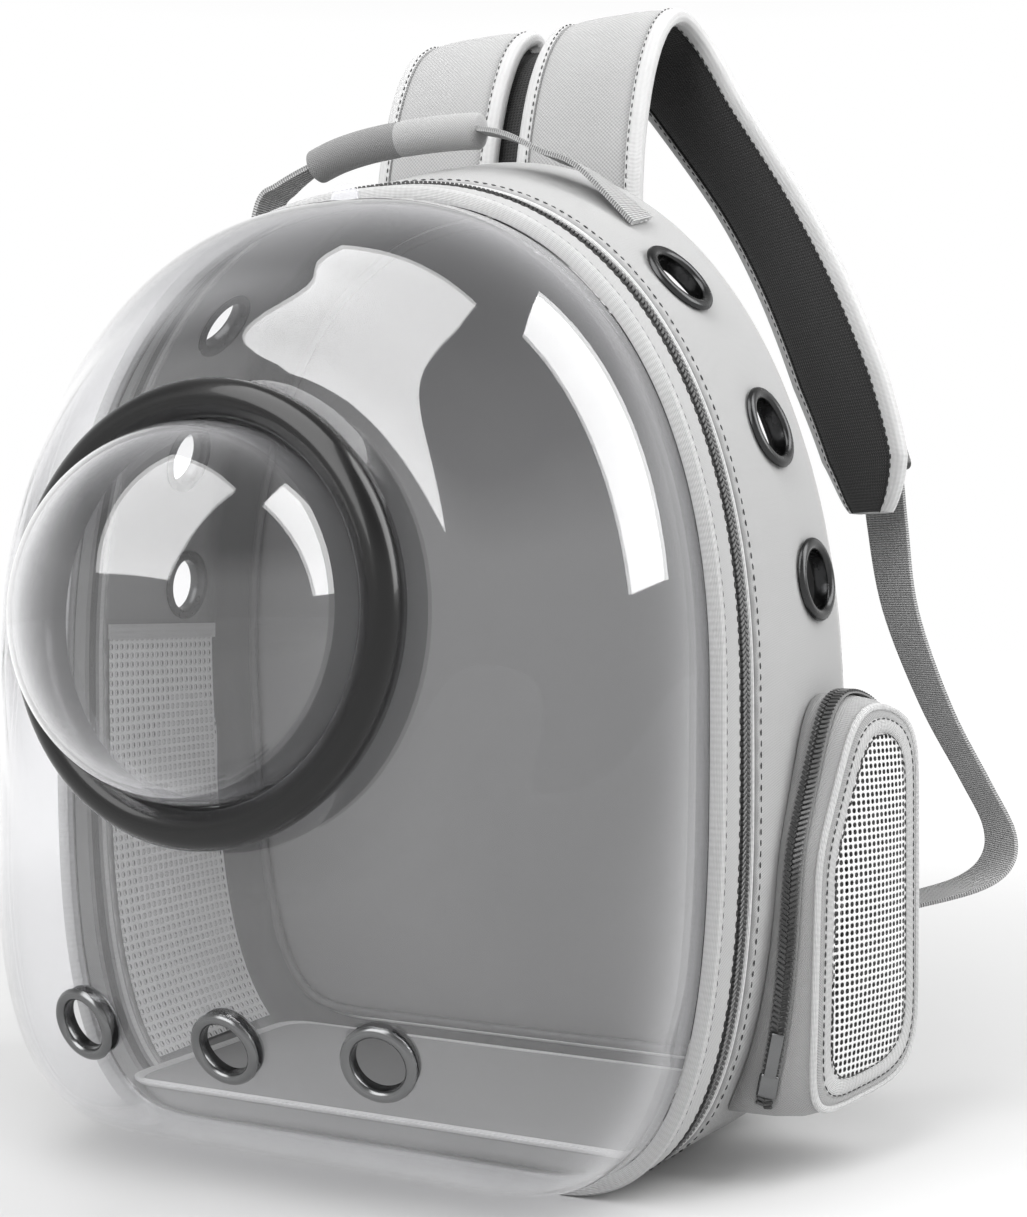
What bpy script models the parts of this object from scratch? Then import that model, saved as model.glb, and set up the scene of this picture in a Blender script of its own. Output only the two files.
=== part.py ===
"""Bubble pet carrier backpack.

Metres, +Z up, the wearer on the +Y side and the clear bubble front towards -Y.
The origin is the centre of the flat base, on the floor.
"""
import math

import bmesh
import bpy
from mathutils import Matrix, Vector

# Body of the pack
RIM_HEIGHT = 0.391
RIM_HALF_WIDTH = 0.157
RIM_WIDEST_Z = 0.192
BACK_HEIGHT = 0.422
BACK_HALF_WIDTH = 0.165
BACK_WIDEST_Z = 0.178
BASE_DEPTH = 0.150
TOP_DEPTH = 0.115
EDGE_ROUND = 0.016
WALL = 0.003
GAP = 0.0003
CUT_REACH = 0.010
BASE_FLAT_SHARE = 0.45
UPPER_POWER = 2.25
LOWER_POWER = 3.3
FLAT_STEPS = 4
LOWER_STEPS = 8
UPPER_STEPS = 14

# Front frame, its binding and the door zip
FRAME_DEPTH = 0.018
BINDING_WIDTH = 0.005
BINDING_DEPTH = 0.004
ZIP_DEPTH = 0.011
ZIP_RECESS = 0.0016
PIPING_RADIUS = 0.0015
PIPING_SIDES = 5

# Clear front shell
SHELL_DEPTH = 0.102
SHELL_WALL = 0.0018
SHELL_SIDE_POWER = 2.3
SHELL_TOP_POWER = 2.15
SHELL_LOW_POWER = 3.0
SHELL_TUCK = 0.003
SHELL_STEPS = 7
SHELL_STEP_POWER = 0.9
SHELL_FADE = 1.5
TAB_RADIUS = 0.0065
TAB_STEPS = 6
TAB_X_SHARE = -0.03

# Bubble dome and its ring
DOME_Z = 0.221
DOME_SEAT_DEPTH = 0.094
DOME_TILT = math.radians(2.9)
RING_RADIUS = 0.0837
RING_BORE = 0.0686
RING_THICKNESS = 0.017
RING_SEAT_MARGIN = 0.003
DOME_CLEARANCE = 0.0004
DOME_LIP = 0.0030
DOME_LIP_THICKNESS = 0.0014
DOME_WALL = 0.0018
DOME_BULGE = 0.060
DOME_NECK_SHARE = 0.62
DOME_SIDES = 32
DOME_STEPS = 7

# Eyelets
SIDE_EYELET_RADIUS = 0.0172
FRONT_EYELET_RADIUS = 0.0145
EYELET_BORE_SHARE = 0.70
EYELET_BARREL = 0.0010
EYELET_FLANGE = 0.0012
SIDE_EYELET_SEAT = 0.0012
FRONT_EYELET_SEAT = 0.0020
EYELET_SIDES = 12

# Floor pad and back panel
PAD_THICKNESS = 0.015
PAD_END_SPACE = 0.006
PAD_HEEL = 0.012
PAD_HEEL_LIFT = 0.005
PANEL_THICKNESS = 0.012
PANEL_PROUD = 0.004
PANEL_CHAMFER_SHARE = 0.25
BACK_PIPING_RADIUS = 0.0022

# Side windows and side pockets
POCKET_FRONT_SHARE = 0.32
POCKET_BACK_SHARE = 0.92
POCKET_LOW_SHARE = 0.055
POCKET_HIGH_SHARE = 0.455
POCKET_FRONT_PROUD = 0.009
POCKET_BACK_PROUD = 0.036
POCKET_WALL = 0.002
POCKET_SEAT_GAP = 0.0009
POCKET_SHOULDER = 0.006
POCKET_BEND_LEVEL = 0.55
POCKET_BORDER = 0.013
POCKET_LEAST_RADIUS = 0.004
POCKET_ARC_STEPS = 3
POCKET_ZIP_WIDTH = 0.006
POCKET_ZIP_THICKNESS = 0.0016
MESH_THICKNESS = 0.001
WINDOW_FRONT_SHARE = 0.39
WINDOW_TOP_FRONT_SHARE = 0.58
WINDOW_BACK_SHARE = 0.83
WINDOW_LOW_SHARE = 0.10
WINDOW_SHOULDER_SHARE = 0.275
WINDOW_HIGH_SHARE = 0.43

# Straps, webbing and handle
STRAP_WIDTH = 0.064
STRAP_THICKNESS = 0.010
STRAP_SPACING = 0.075
YOKE_WIDTH = 0.030
YOKE_THICKNESS = 0.002
WEBBING_WIDTH = 0.025
WEBBING_THICKNESS = 0.0018
BUCKLE_WIDTH = 0.038
BUCKLE_HEIGHT = 0.034
BUCKLE_THICKNESS = 0.006
BUCKLE_BAR = 0.006
HANDLE_DEPTH_SHARE = 0.60
HANDLE_HALF_SPAN = 0.094
HANDLE_LEFT_SHARE = 1.08
HANDLE_RISE = 0.017
HANDLE_WEBBING_WIDTH = 0.020
HANDLE_WEBBING_THICKNESS = 0.0022
GRIP_RADIUS = 0.0078
GRIP_SIDES = 10

# The front rim plane, from which every depth is measured.
FRONT_Y = -0.5 * BASE_DEPTH

# The gusset's outer side: depth share, inset share of the rounded back edge.
GUSSET_PROFILE = (
    (0.84, 0.00),
    (0.93, 0.20),
    (0.98, 0.58),
    (1.00, 1.00),
)

# The dome ring's rounded outside: across share of its width, height share of its thickness.
RING_PROFILE = (
    (0.96, 0.22),
    (1.00, 0.50),
    (0.86, 0.80),
    (0.55, 1.00),
    (0.22, 0.94),
    (0.00, 0.72),
)
RING_FOOT_SHARE = 0.72

# Side vents: height share of the back, depth share.
SIDE_VENTS = {
    "upper": (0.842, 0.50),
    "middle": (0.700, 0.60),
    "lower": (0.556, 0.70),
}

# Front vents: side share of the rim half width, height share of the rim.
FRONT_VENTS = {
    "left": (-0.415, 0.170),
    "centre": (0.0, 0.165),
    "right": (0.415, 0.170),
}

# Pocket corners: across share of its width, up share of its height, radius share of its width,
# and how many points lie on the straight side after the corner.
POCKET_CORNERS = (
    (0.00, 0.00, 0.10, 2),
    (1.00, 0.05, 0.32, 5),
    (1.00, 0.93, 0.26, 2),
    (0.42, 1.00, 0.26, 2),
    (0.05, 0.62, 0.24, 5),
)

# Right strap: across share of the back half width past the parallel stretch, behind share of
# the base depth, up share of the back height, turn in degrees, width share.
STRAP_SECTIONS = (
    (0.000, 0.840, 0.940, 0.0, 1.00),
    (0.000, 0.862, 1.020, 0.0, 1.00),
    (0.000, 0.935, 1.102, 0.0, 1.00),
    (0.002, 1.040, 1.160, 0.0, 1.00),
    (0.004, 1.173, 1.187, 0.0, 1.00),
    (0.036, 1.293, 1.172, -10.0, 1.00),
    (0.092, 1.347, 1.140, -20.0, 1.00),
    (0.172, 1.367, 1.092, -28.0, 1.00),
    (0.348, 1.373, 0.987, -33.0, 1.00),
    (0.478, 1.373, 0.890, -33.0, 1.00),
    (0.592, 1.367, 0.780, -32.0, 1.00),
    (0.668, 1.353, 0.692, -30.0, 0.84),
    (0.694, 1.333, 0.632, -28.0, 0.36),
)
YOKE_SECTIONS = 5
BUCKLE_SECTION = 11
BUCKLE_SHARE = 0.75

# Cross-sections: across share of the half width, share of the half thickness.
FLAT_SECTION = ((-1, -1), (1, -1), (1, 1), (-1, 1))
SOFT_SECTION = (
    (-1.00, -0.25),
    (-0.86, -1.00),
    (0.86, -1.00),
    (1.00, -0.25),
    (1.00, 0.25),
    (0.86, 1.00),
    (-0.86, 1.00),
    (-1.00, 0.25),
)
BUCKLE_CORNERS = (
    (-1.0, -0.7),
    (-0.8, -1.0),
    (0.8, -1.0),
    (1.0, -0.7),
    (1.0, 0.7),
    (0.8, 1.0),
    (-0.8, 1.0),
    (-1.0, 0.7),
)

# Right webbing below its buckle: across share of the back half width, behind share of the base
# depth, up share of the back height, turn in degrees.
WEBBING_SECTIONS = (
    (0.945, 1.420, 0.621, -28.0),
    (0.985, 1.412, 0.526, -36.0),
    (1.090, 1.395, 0.422, -42.0),
    (1.205, 1.367, 0.344, -45.0),
    (1.278, 1.327, 0.296, -45.0),
    (1.284, 1.270, 0.264, -45.0),
    (1.225, 1.195, 0.242, -45.0),
    (1.080, 1.080, 0.225, -45.0),
)
WEBBING_END_HEIGHT_SHARE = 0.215
WEBBING_END_DEPTH_SHARE = 0.975

# Handle: across share of the half span, up share of the rise, webbing width share.
HANDLE_SECTIONS = (
    (-0.98, -0.35, 1.00),
    (-0.88, 0.10, 0.80),
    (-0.72, 0.52, 0.50),
    (-0.57, 0.78, 0.50),
    (-0.38, 0.94, 0.50),
    (-0.15, 1.00, 0.50),
    (0.06, 0.98, 0.50),
    (0.21, 0.92, 0.50),
    (0.38, 0.62, 0.80),
    (0.55, 0.10, 1.00),
    (0.74, -0.42, 1.00),
)
GRIP_FIRST = 2
GRIP_LAST = 7


def clear_scene():
    for item in list(bpy.data.objects):
        bpy.data.objects.remove(item)


def material(name, colour, roughness, metallic=0.0, alpha=1.0):
    made = bpy.data.materials.new(name)
    made.use_nodes = True
    shader = made.node_tree.nodes["Principled BSDF"]
    shader.inputs["Base Color"].default_value = (*colour, 1.0)
    shader.inputs["Roughness"].default_value = roughness
    shader.inputs["Metallic"].default_value = metallic
    shader.inputs["Alpha"].default_value = alpha
    return made


def make_object(name, bm, finish, smooth_angle=35.0):
    bmesh.ops.recalc_face_normals(bm, faces=bm.faces)
    mesh = bpy.data.meshes.new(name)
    bm.to_mesh(mesh)
    bm.free()
    mesh.shade_smooth()
    mesh.set_sharp_from_angle(angle=math.radians(smooth_angle))
    if finish is not None:
        mesh.materials.append(finish)
    made = bpy.data.objects.new(name, mesh)
    bpy.context.scene.collection.objects.link(made)
    return made


def loft(loops, closed_round=False, caps=True):
    """Join loops of points by quads. closed_round joins the last loop to the first."""
    bm = bmesh.new()
    rows = [[bm.verts.new(point) for point in loop] for loop in loops]
    pairs = list(zip(rows, rows[1:]))
    if closed_round:
        pairs.append((rows[-1], rows[0]))
    count = len(rows[0])
    for first, second in pairs:
        for index in range(count):
            after = (index + 1) % count
            bm.faces.new((first[index], first[after], second[after], second[index]))
    if caps and not closed_round:
        bm.faces.new(rows[0])
        bm.faces.new(tuple(reversed(rows[-1])))
    return bm


def mix(low, high, share):
    return low + (high - low) * share


def outline(share):
    """The pack's outline at a depth share, as (x, z) pairs, bottom right round to bottom left."""
    grown = min(1.0, share / GUSSET_PROFILE[0][0])
    half_width = mix(RIM_HALF_WIDTH, BACK_HALF_WIDTH, grown)
    height = mix(RIM_HEIGHT, BACK_HEIGHT, grown)
    widest = mix(RIM_WIDEST_Z, BACK_WIDEST_Z, grown)
    flat = BASE_FLAT_SHARE * half_width
    right = []
    for step in range(LOWER_STEPS + 1):
        turn = 0.5 * math.pi * step / LOWER_STEPS
        x = flat + (half_width - flat) * math.sin(turn) ** (2 / LOWER_POWER)
        z = widest * (1 - max(0.0, math.cos(turn)) ** (2 / LOWER_POWER))
        right.append((x, z))
    for step in range(1, UPPER_STEPS + 1):
        turn = 0.5 * math.pi * step / UPPER_STEPS
        x = half_width * math.cos(turn) ** (2 / UPPER_POWER) if step < UPPER_STEPS else 0.0
        z = widest + (height - widest) * math.sin(turn) ** (2 / UPPER_POWER)
        right.append((x, z))
    left = [(-x, z) for x, z in reversed(right[:-1])]
    under = [(flat * (2 * step / FLAT_STEPS - 1), 0.0) for step in range(1, FLAT_STEPS)]
    return right + left + under


def right_side(points):
    """The part of an outline from its bottom right up to its top."""
    return points[: LOWER_STEPS + UPPER_STEPS + 1]


def grow(points, distance):
    """Move each point of a closed outline out along its normal; a negative distance goes in."""
    moved = []
    count = len(points)
    for index, (x, z) in enumerate(points):
        before = Vector(points[index - 1])
        after = Vector(points[(index + 1) % count])
        here = Vector((x, z))
        first = (here - before).normalized()
        second = (after - here).normalized()
        first_out = Vector((first.y, -first.x))
        second_out = Vector((second.y, -second.x))
        out = (first_out + second_out).normalized()
        reach = distance / max(0.5, out.dot(first_out))
        moved.append((x + out.x * reach, z + out.y * reach))
    return moved


def depth_y(share, z):
    """Y at a depth share: the pack is deeper at its base than at its top."""
    return FRONT_Y + share * mix(BASE_DEPTH, TOP_DEPTH, z / BACK_HEIGHT)


def ring(share, out=0.0):
    """A closed loop of points round the pack at a depth share, moved out by a distance."""
    return [Vector((x, depth_y(share, z), z)) for x, z in grow(outline(share), out)]


def band(profile):
    """A closed hoop round the pack, from (depth share, distance out) corners."""
    return loft([ring(share, out) for share, out in profile], closed_round=True)


def plate(profile):
    """A closed panel across the pack, from (depth share, distance out) corners."""
    return loft([ring(share, out) for share, out in profile])


def side_point(z, share):
    """The point on the pack's right side at a height and a depth share."""
    points = right_side(outline(share))
    x = points[-1][0]
    for (x0, z0), (x1, z1) in zip(points, points[1:]):
        if z0 <= z <= z1:
            x = mix(x0, x1, (z - z0) / (z1 - z0))
            break
    return Vector((x, depth_y(share, z), z))


def skin_at(z, share, out=0.0, side=1):
    """A point moved out from the pack's side along its normal, and that normal."""
    small = 0.02
    up = side_point(z + small * BACK_HEIGHT, share) - side_point(z - small * BACK_HEIGHT, share)
    behind = side_point(z, share + small) - side_point(z, share - small)
    normal = behind.cross(up).normalized()
    point = side_point(z, share) + normal * out
    point.x *= side
    normal.x *= side
    return point, normal


def tube_round(loop_of_points, radius, sides):
    """A closed cord along a closed loop of points that lies round the pack."""
    bm = bmesh.new()
    count = len(loop_of_points)
    middle = sum(loop_of_points, Vector()) / count
    rows = []
    for index, point in enumerate(loop_of_points):
        along = (loop_of_points[(index + 1) % count] - loop_of_points[index - 1]).normalized()
        side = along.cross(Vector((0, 1, 0))).normalized()
        if side.dot(point - middle) < 0:
            side.negate()
        behind = side.cross(along).normalized()
        row = []
        for step in range(sides):
            turn = 2 * math.pi * step / sides
            row.append(bm.verts.new(point + radius * (math.cos(turn) * side + math.sin(turn) * behind)))
        rows.append(row)
    for index in range(count):
        first = rows[index]
        second = rows[(index + 1) % count]
        for step in range(sides):
            after = (step + 1) % sides
            bm.faces.new((first[step], first[after], second[after], second[step]))
    return bm


def turned(profile, sides):
    """A body of revolution about +Z from a closed (radius, height) profile."""
    loops = []
    for radius, height in profile:
        loop = []
        for step in range(sides):
            turn = 2 * math.pi * step / sides
            loop.append(Vector((radius * math.cos(turn), radius * math.sin(turn), height)))
        loops.append(loop)
    return loft(loops, closed_round=True)


def facing(point, normal):
    """A placement whose own +Z looks along a normal."""
    turn = normal.to_track_quat("Z", "Y").to_matrix().to_4x4()
    return Matrix.Translation(point) @ turn


def cutter(name, bm):
    made = make_object(name, bm, None)
    made.hide_render = True
    made.display_type = "WIRE"
    return made


def cut(target, tool):
    difference = target.modifiers.new(tool.name, "BOOLEAN")
    difference.operation = "DIFFERENCE"
    difference.solver = "EXACT"
    difference.object = tool


def hole_cutter(name, place, radius, half_length):
    bm = bmesh.new()
    bmesh.ops.create_cone(
        bm, cap_ends=True, segments=EYELET_SIDES, radius1=radius, radius2=radius, depth=2 * half_length
    )
    made = cutter(name, bm)
    made.matrix_world = place
    return made


def eyelet(name, place, radius, wall, seat, finish):
    """A rolled grommet: two flanges joined by a barrel through the wall. +Z points outwards."""
    bore = EYELET_BORE_SHARE * radius
    barrel = bore + EYELET_BARREL
    top = seat + EYELET_FLANGE
    low = -wall - seat - EYELET_FLANGE
    profile = (
        (bore, low + EYELET_FLANGE),
        (mix(bore, radius, 0.5), low),
        (radius, low + EYELET_FLANGE),
        (barrel, low + EYELET_FLANGE),
        (barrel, seat),
        (radius, seat),
        (mix(bore, radius, 0.5), top),
        (bore, seat),
    )
    made = make_object(name, turned(profile, EYELET_SIDES), finish)
    made.matrix_world = place
    return made


def eyelet_hole(radius):
    return EYELET_BORE_SHARE * radius + EYELET_BARREL + GAP


def side_vent_place(height_share, depth_share, side):
    point, normal = skin_at(height_share * BACK_HEIGHT, depth_share, side=side)
    return facing(point, normal)


FRAME_SHARE = FRAME_DEPTH / BASE_DEPTH
LEAST_DEPTH = min(BASE_DEPTH, TOP_DEPTH)
ZIP_START = FRAME_SHARE + GAP / LEAST_DEPTH
ZIP_END = ZIP_START + ZIP_DEPTH / BASE_DEPTH
PIPING_SHARE = ZIP_END + (PIPING_RADIUS + GAP) / LEAST_DEPTH
GUSSET_START = PIPING_SHARE + (PIPING_RADIUS + GAP) / LEAST_DEPTH


def make_side_gusset():
    outer = [(GUSSET_START, 0.0)]
    outer += [(share, -EDGE_ROUND * inset) for share, inset in GUSSET_PROFILE]
    inner = []
    for share, out in reversed(outer[1:-1]):
        inner.append((share, out - WALL))
    profile = outer + [(1.0, -EDGE_ROUND - WALL)] + inner + [(GUSSET_START, -WALL)]
    gusset = make_object("side_gusset", band(profile), material("gusset cloth", (0.62, 0.62, 0.63), 0.85))
    for side, word in ((1, "right"), (-1, "left")):
        for level, (height_share, depth_share) in SIDE_VENTS.items():
            place = side_vent_place(height_share, depth_share, side)
            name = "cut_vent_" + level + "_" + word
            cut(gusset, hole_cutter(name, place, eyelet_hole(SIDE_EYELET_RADIUS), CUT_REACH))
        cut(gusset, window_cutter(side, word))
    return gusset


def make_front_frame():
    binding = BINDING_DEPTH / BASE_DEPTH
    profile = (
        (0.0, 0.0),
        (FRAME_SHARE, 0.0),
        (FRAME_SHARE, -WALL),
        (binding, -WALL),
        (binding, -BINDING_WIDTH),
        (0.0, -BINDING_WIDTH),
    )
    return make_object("front_frame", band(profile), material("frame cloth", (0.70, 0.70, 0.71), 0.8))


def make_door_zip():
    outside = -ZIP_RECESS
    inside = -WALL
    profile = ((ZIP_START, outside), (ZIP_END, outside), (ZIP_END, inside), (ZIP_START, inside))
    return make_object("door_zip", band(profile), material("zip tape", (0.30, 0.30, 0.31), 0.7))


def make_gusset_piping():
    path = ring(PIPING_SHARE, -PIPING_RADIUS - GAP)
    bm = tube_round(path, PIPING_RADIUS, PIPING_SIDES)
    return make_object("gusset_piping", bm, material("piping", (0.66, 0.66, 0.67), 0.75))


def shell_power(angle):
    """The roundness of the clear shell towards an outline angle: 0 is right, 90 degrees is up."""
    lift = math.sin(angle)
    if lift > 0:
        return mix(SHELL_SIDE_POWER, SHELL_TOP_POWER, lift)
    return mix(SHELL_SIDE_POWER, SHELL_LOW_POWER, -lift)


def shell_edge():
    """The clear shell's outline where it leaves the front frame."""
    return grow(outline(0.0), -BINDING_WIDTH - GAP)


def seat_y(z):
    """The tilted plane that the dome ring sits on."""
    return FRONT_Y - DOME_SEAT_DEPTH + (z - DOME_Z) * math.tan(DOME_TILT)


def shell_y(distance, reach, angle):
    """Y of the clear shell at a distance from the dome's centre, on a line of a given reach."""
    power = shell_power(angle)
    share = min(1.0, distance / reach)
    depth = SHELL_DEPTH * (1 - share ** power) ** (1 / power)
    bare = FRONT_Y - depth
    flat_to = RING_RADIUS + RING_SEAT_MARGIN
    fade_to = SHELL_FADE * flat_to
    flat = min(1.0, max(0.0, (fade_to - distance) / (fade_to - flat_to)))
    flat = flat * flat * (3 - 2 * flat)
    height = DOME_Z + distance * math.sin(angle)
    return mix(bare, seat_y(height), flat)


def shell_loops():
    """Loops of the clear shell's outside, from its tucked edge to the dome's hole."""
    edge = shell_edge()
    loops = [[Vector((x, FRONT_Y + SHELL_TUCK, z)) for x, z in edge]]
    flat_to = RING_RADIUS + RING_SEAT_MARGIN
    for step in range(SHELL_STEPS):
        turn = 0.5 * math.pi * step / SHELL_STEPS
        loop = []
        for x, z in edge:
            angle = math.atan2(z - DOME_Z, x)
            reach = math.hypot(x, z - DOME_Z)
            distance = mix(flat_to, reach, math.cos(turn) ** SHELL_STEP_POWER)
            height = DOME_Z + distance * math.sin(angle)
            loop.append(Vector((distance * math.cos(angle), shell_y(distance, reach, angle), height)))
        loops.append(loop)
    top = LOWER_STEPS + UPPER_STEPS
    for distance in (flat_to, RING_BORE + DOME_LIP + DOME_CLEARANCE):
        loop = []
        for index in range(len(edge)):
            angle = math.pi * (0.5 + 2 * (index - top) / len(edge))
            height = DOME_Z + distance * math.sin(angle)
            loop.append(Vector((distance * math.cos(angle), seat_y(height), height)))
        loops.append(loop)
    return loops


def shell_point(x, z):
    """A point on the clear shell and its outward normal, seen at (x, z) from the front."""
    edge = shell_edge()

    def surface(px, pz):
        angle = math.atan2(pz - DOME_Z, px)
        heading = Vector((math.cos(angle), math.sin(angle)))
        reach = 0.0
        for index, first in enumerate(edge):
            start = Vector((first[0], first[1] - DOME_Z))
            second = edge[(index + 1) % len(edge)]
            end = Vector((second[0], second[1] - DOME_Z))
            run = end - start
            cross = heading.x * run.y - heading.y * run.x
            if abs(cross) < 1e-12:
                continue
            length = (start.x * run.y - start.y * run.x) / cross
            share = (start.x * heading.y - start.y * heading.x) / cross
            if length > 0 and -1e-9 <= share <= 1 + 1e-9:
                reach = length
        distance = math.hypot(px, pz - DOME_Z)
        return Vector((px, shell_y(distance, reach, angle), pz))

    small = 0.002
    here = surface(x, z)
    across = surface(x + small, z) - surface(x - small, z)
    up = surface(x, z + small) - surface(x, z - small)
    return here, across.cross(up).normalized()


def front_vent_place(side_share, height_share):
    point, normal = shell_point(side_share * RIM_HALF_WIDTH, height_share * RIM_HEIGHT)
    return facing(point, normal)


def make_front_shell():
    bm = loft(shell_loops(), caps=False)
    shell = make_object("front_shell", bm, material("clear sheet", (0.93, 0.94, 0.95), 0.05, alpha=0.2))
    if (shell.data.polygons[0].normal.x * shell.data.polygons[0].center.x) < 0:
        shell.data.flip_normals()
    wall = shell.modifiers.new("wall", "SOLIDIFY")
    wall.thickness = SHELL_WALL
    wall.offset = -1.0
    wall.use_even_offset = True
    for word, (side_share, height_share) in FRONT_VENTS.items():
        place = front_vent_place(side_share, height_share)
        name = "cut_front_vent_" + word
        cut(shell, hole_cutter(name, place, eyelet_hole(FRONT_EYELET_RADIUS), CUT_REACH))
    return shell


def make_shell_tab():
    """The half-round thumb tab that stands on the top of the clear shell."""
    x = TAB_X_SHARE * RIM_HALF_WIDTH
    edge = [pair for pair in shell_edge() if pair[1] > RIM_WIDEST_Z]
    z = RIM_HEIGHT
    for (x0, z0), (x1, z1) in zip(edge, edge[1:]):
        if x1 <= x <= x0:
            z = mix(z0, z1, (x0 - x) / (x0 - x1))
    foot = z + GAP + SHELL_WALL
    loops = []
    for y in (FRONT_Y - GAP, FRONT_Y - GAP - SHELL_WALL):
        loop = []
        for step in range(TAB_STEPS + 1):
            turn = math.pi * step / TAB_STEPS
            loop.append(Vector((x + TAB_RADIUS * math.cos(turn), y, foot + TAB_RADIUS * math.sin(turn))))
        loops.append(loop)
    return make_object("shell_tab", loft(loops), material("clear tab", (0.93, 0.94, 0.95), 0.1, alpha=0.35))


def dome_place():
    centre = Vector((0.0, FRONT_Y - DOME_SEAT_DEPTH, DOME_Z))
    normal = Vector((0.0, -math.cos(DOME_TILT), math.sin(DOME_TILT)))
    return facing(centre, normal)


def make_dome_ring():
    """The black ring that clamps the shell's edge, as a rounded hoop on its seat."""
    width = RING_RADIUS - RING_BORE
    profile = [(RING_BORE, GAP), (RING_BORE + RING_FOOT_SHARE * width, GAP)]
    for across, height in RING_PROFILE:
        profile.append((RING_BORE + across * width, height * RING_THICKNESS))
    made = make_object("dome_ring", turned(profile, DOME_SIDES), material("ring", (0.02, 0.02, 0.02), 0.18))
    made.matrix_world = dome_place()
    return made


def make_bubble_dome():
    """The clear dome: a lip behind the ring, a short neck through it, and the bulging cap."""
    radius = RING_BORE - DOME_CLEARANCE
    neck = DOME_NECK_SHARE * RING_THICKNESS
    outer = [(radius + DOME_LIP, -DOME_LIP_THICKNESS), (radius + DOME_LIP, 0.0), (radius, 0.0)]
    inner = [(radius - DOME_WALL, -DOME_LIP_THICKNESS)]
    for step in range(DOME_STEPS):
        turn = 0.5 * math.pi * step / DOME_STEPS
        outer.append((radius * math.cos(turn), neck + DOME_BULGE * math.sin(turn)))
        inner_rise = neck + (DOME_BULGE - DOME_WALL) * math.sin(turn)
        inner.append(((radius - DOME_WALL) * math.cos(turn), inner_rise))
    bm = bmesh.new()
    rows = []
    for ring_radius, height in list(reversed(inner)) + outer:
        row = []
        for step in range(DOME_SIDES):
            turn = 2 * math.pi * step / DOME_SIDES
            row.append(bm.verts.new((ring_radius * math.cos(turn), ring_radius * math.sin(turn), height)))
        rows.append(row)
    for first, second in zip(rows, rows[1:]):
        for step in range(DOME_SIDES):
            after = (step + 1) % DOME_SIDES
            bm.faces.new((first[step], first[after], second[after], second[step]))
    for row, height in ((rows[0], neck + DOME_BULGE - DOME_WALL), (rows[-1], neck + DOME_BULGE)):
        pole = bm.verts.new((0.0, 0.0, height))
        for step in range(DOME_SIDES):
            bm.faces.new((row[step], row[(step + 1) % DOME_SIDES], pole))
    made = make_object("bubble_dome", bm, material("clear dome", (0.93, 0.94, 0.95), 0.04, alpha=0.2), 50)
    made.matrix_world = dome_place()
    return made


def make_eyelets():
    finish = material("dark eyelet", (0.10, 0.10, 0.11), 0.3, 0.9)
    for side, word in ((1, "right"), (-1, "left")):
        for level, (height_share, depth_share) in SIDE_VENTS.items():
            place = side_vent_place(height_share, depth_share, side)
            name = "side_eyelet_" + level + "_" + word
            eyelet(name, place, SIDE_EYELET_RADIUS, WALL, SIDE_EYELET_SEAT, finish)
    finish = material("grey eyelet", (0.35, 0.35, 0.36), 0.3, 0.9)
    for word, (side_share, height_share) in FRONT_VENTS.items():
        place = front_vent_place(side_share, height_share)
        eyelet("front_eyelet_" + word, place, FRONT_EYELET_RADIUS, SHELL_WALL, FRONT_EYELET_SEAT, finish)


def make_floor_pad():
    """The mat on the base, shaped to the bottom of the gusset."""
    inside = grow(outline(0.0), -WALL - GAP)
    floor_z = WALL + GAP
    top_z = floor_z + PAD_THICKNESS
    right = [pair for pair in inside[: LOWER_STEPS + 1] if pair[1] < top_z]
    after = inside[len(right)]
    before = right[-1]
    share = (top_z - before[1]) / (after[1] - before[1])
    right.append((mix(before[0], after[0], share), top_z))
    corners = right + [(-x, z) for x, z in reversed(right)]
    front = FRONT_Y + BINDING_DEPTH + GAP
    back = FRONT_Y + BASE_DEPTH + PANEL_PROUD - PANEL_THICKNESS - PAD_END_SPACE
    loops = []
    for y, lift in ((front, 0.0), (back - PAD_HEEL, 0.0), (back, PAD_HEEL_LIFT)):
        loops.append([Vector((x, y, max(z, floor_z + lift))) for x, z in corners])
    return make_object("floor_pad", loft(loops), material("pad cloth", (0.30, 0.30, 0.31), 0.9))


def panel_edge():
    return -EDGE_ROUND - WALL - GAP


def make_back_panel():
    rear = 1.0 + PANEL_PROUD / BASE_DEPTH
    front = rear - PANEL_THICKNESS / BASE_DEPTH
    edge = panel_edge()
    chamfer = PANEL_CHAMFER_SHARE * PANEL_THICKNESS
    profile = (
        (front, edge - chamfer),
        (mix(front, rear, PANEL_CHAMFER_SHARE), edge),
        (mix(rear, front, PANEL_CHAMFER_SHARE), edge),
        (rear, edge - chamfer),
    )
    return make_object("back_panel", plate(profile), material("back cloth", (0.20, 0.20, 0.21), 0.9))


def make_back_piping():
    """The dark cord round the cabin's back wall, in front of the panel's edge."""
    panel_front = 1.0 + (PANEL_PROUD - PANEL_THICKNESS) / BASE_DEPTH
    front = panel_front - (BACK_PIPING_RADIUS + GAP) / LEAST_DEPTH
    chamfer = PANEL_CHAMFER_SHARE * PANEL_THICKNESS
    path = ring(front, panel_edge() - chamfer - BACK_PIPING_RADIUS)
    bm = tube_round(path, BACK_PIPING_RADIUS, PIPING_SIDES)
    return make_object("back_piping", bm, material("dark piping", (0.05, 0.05, 0.05), 0.6))


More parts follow.
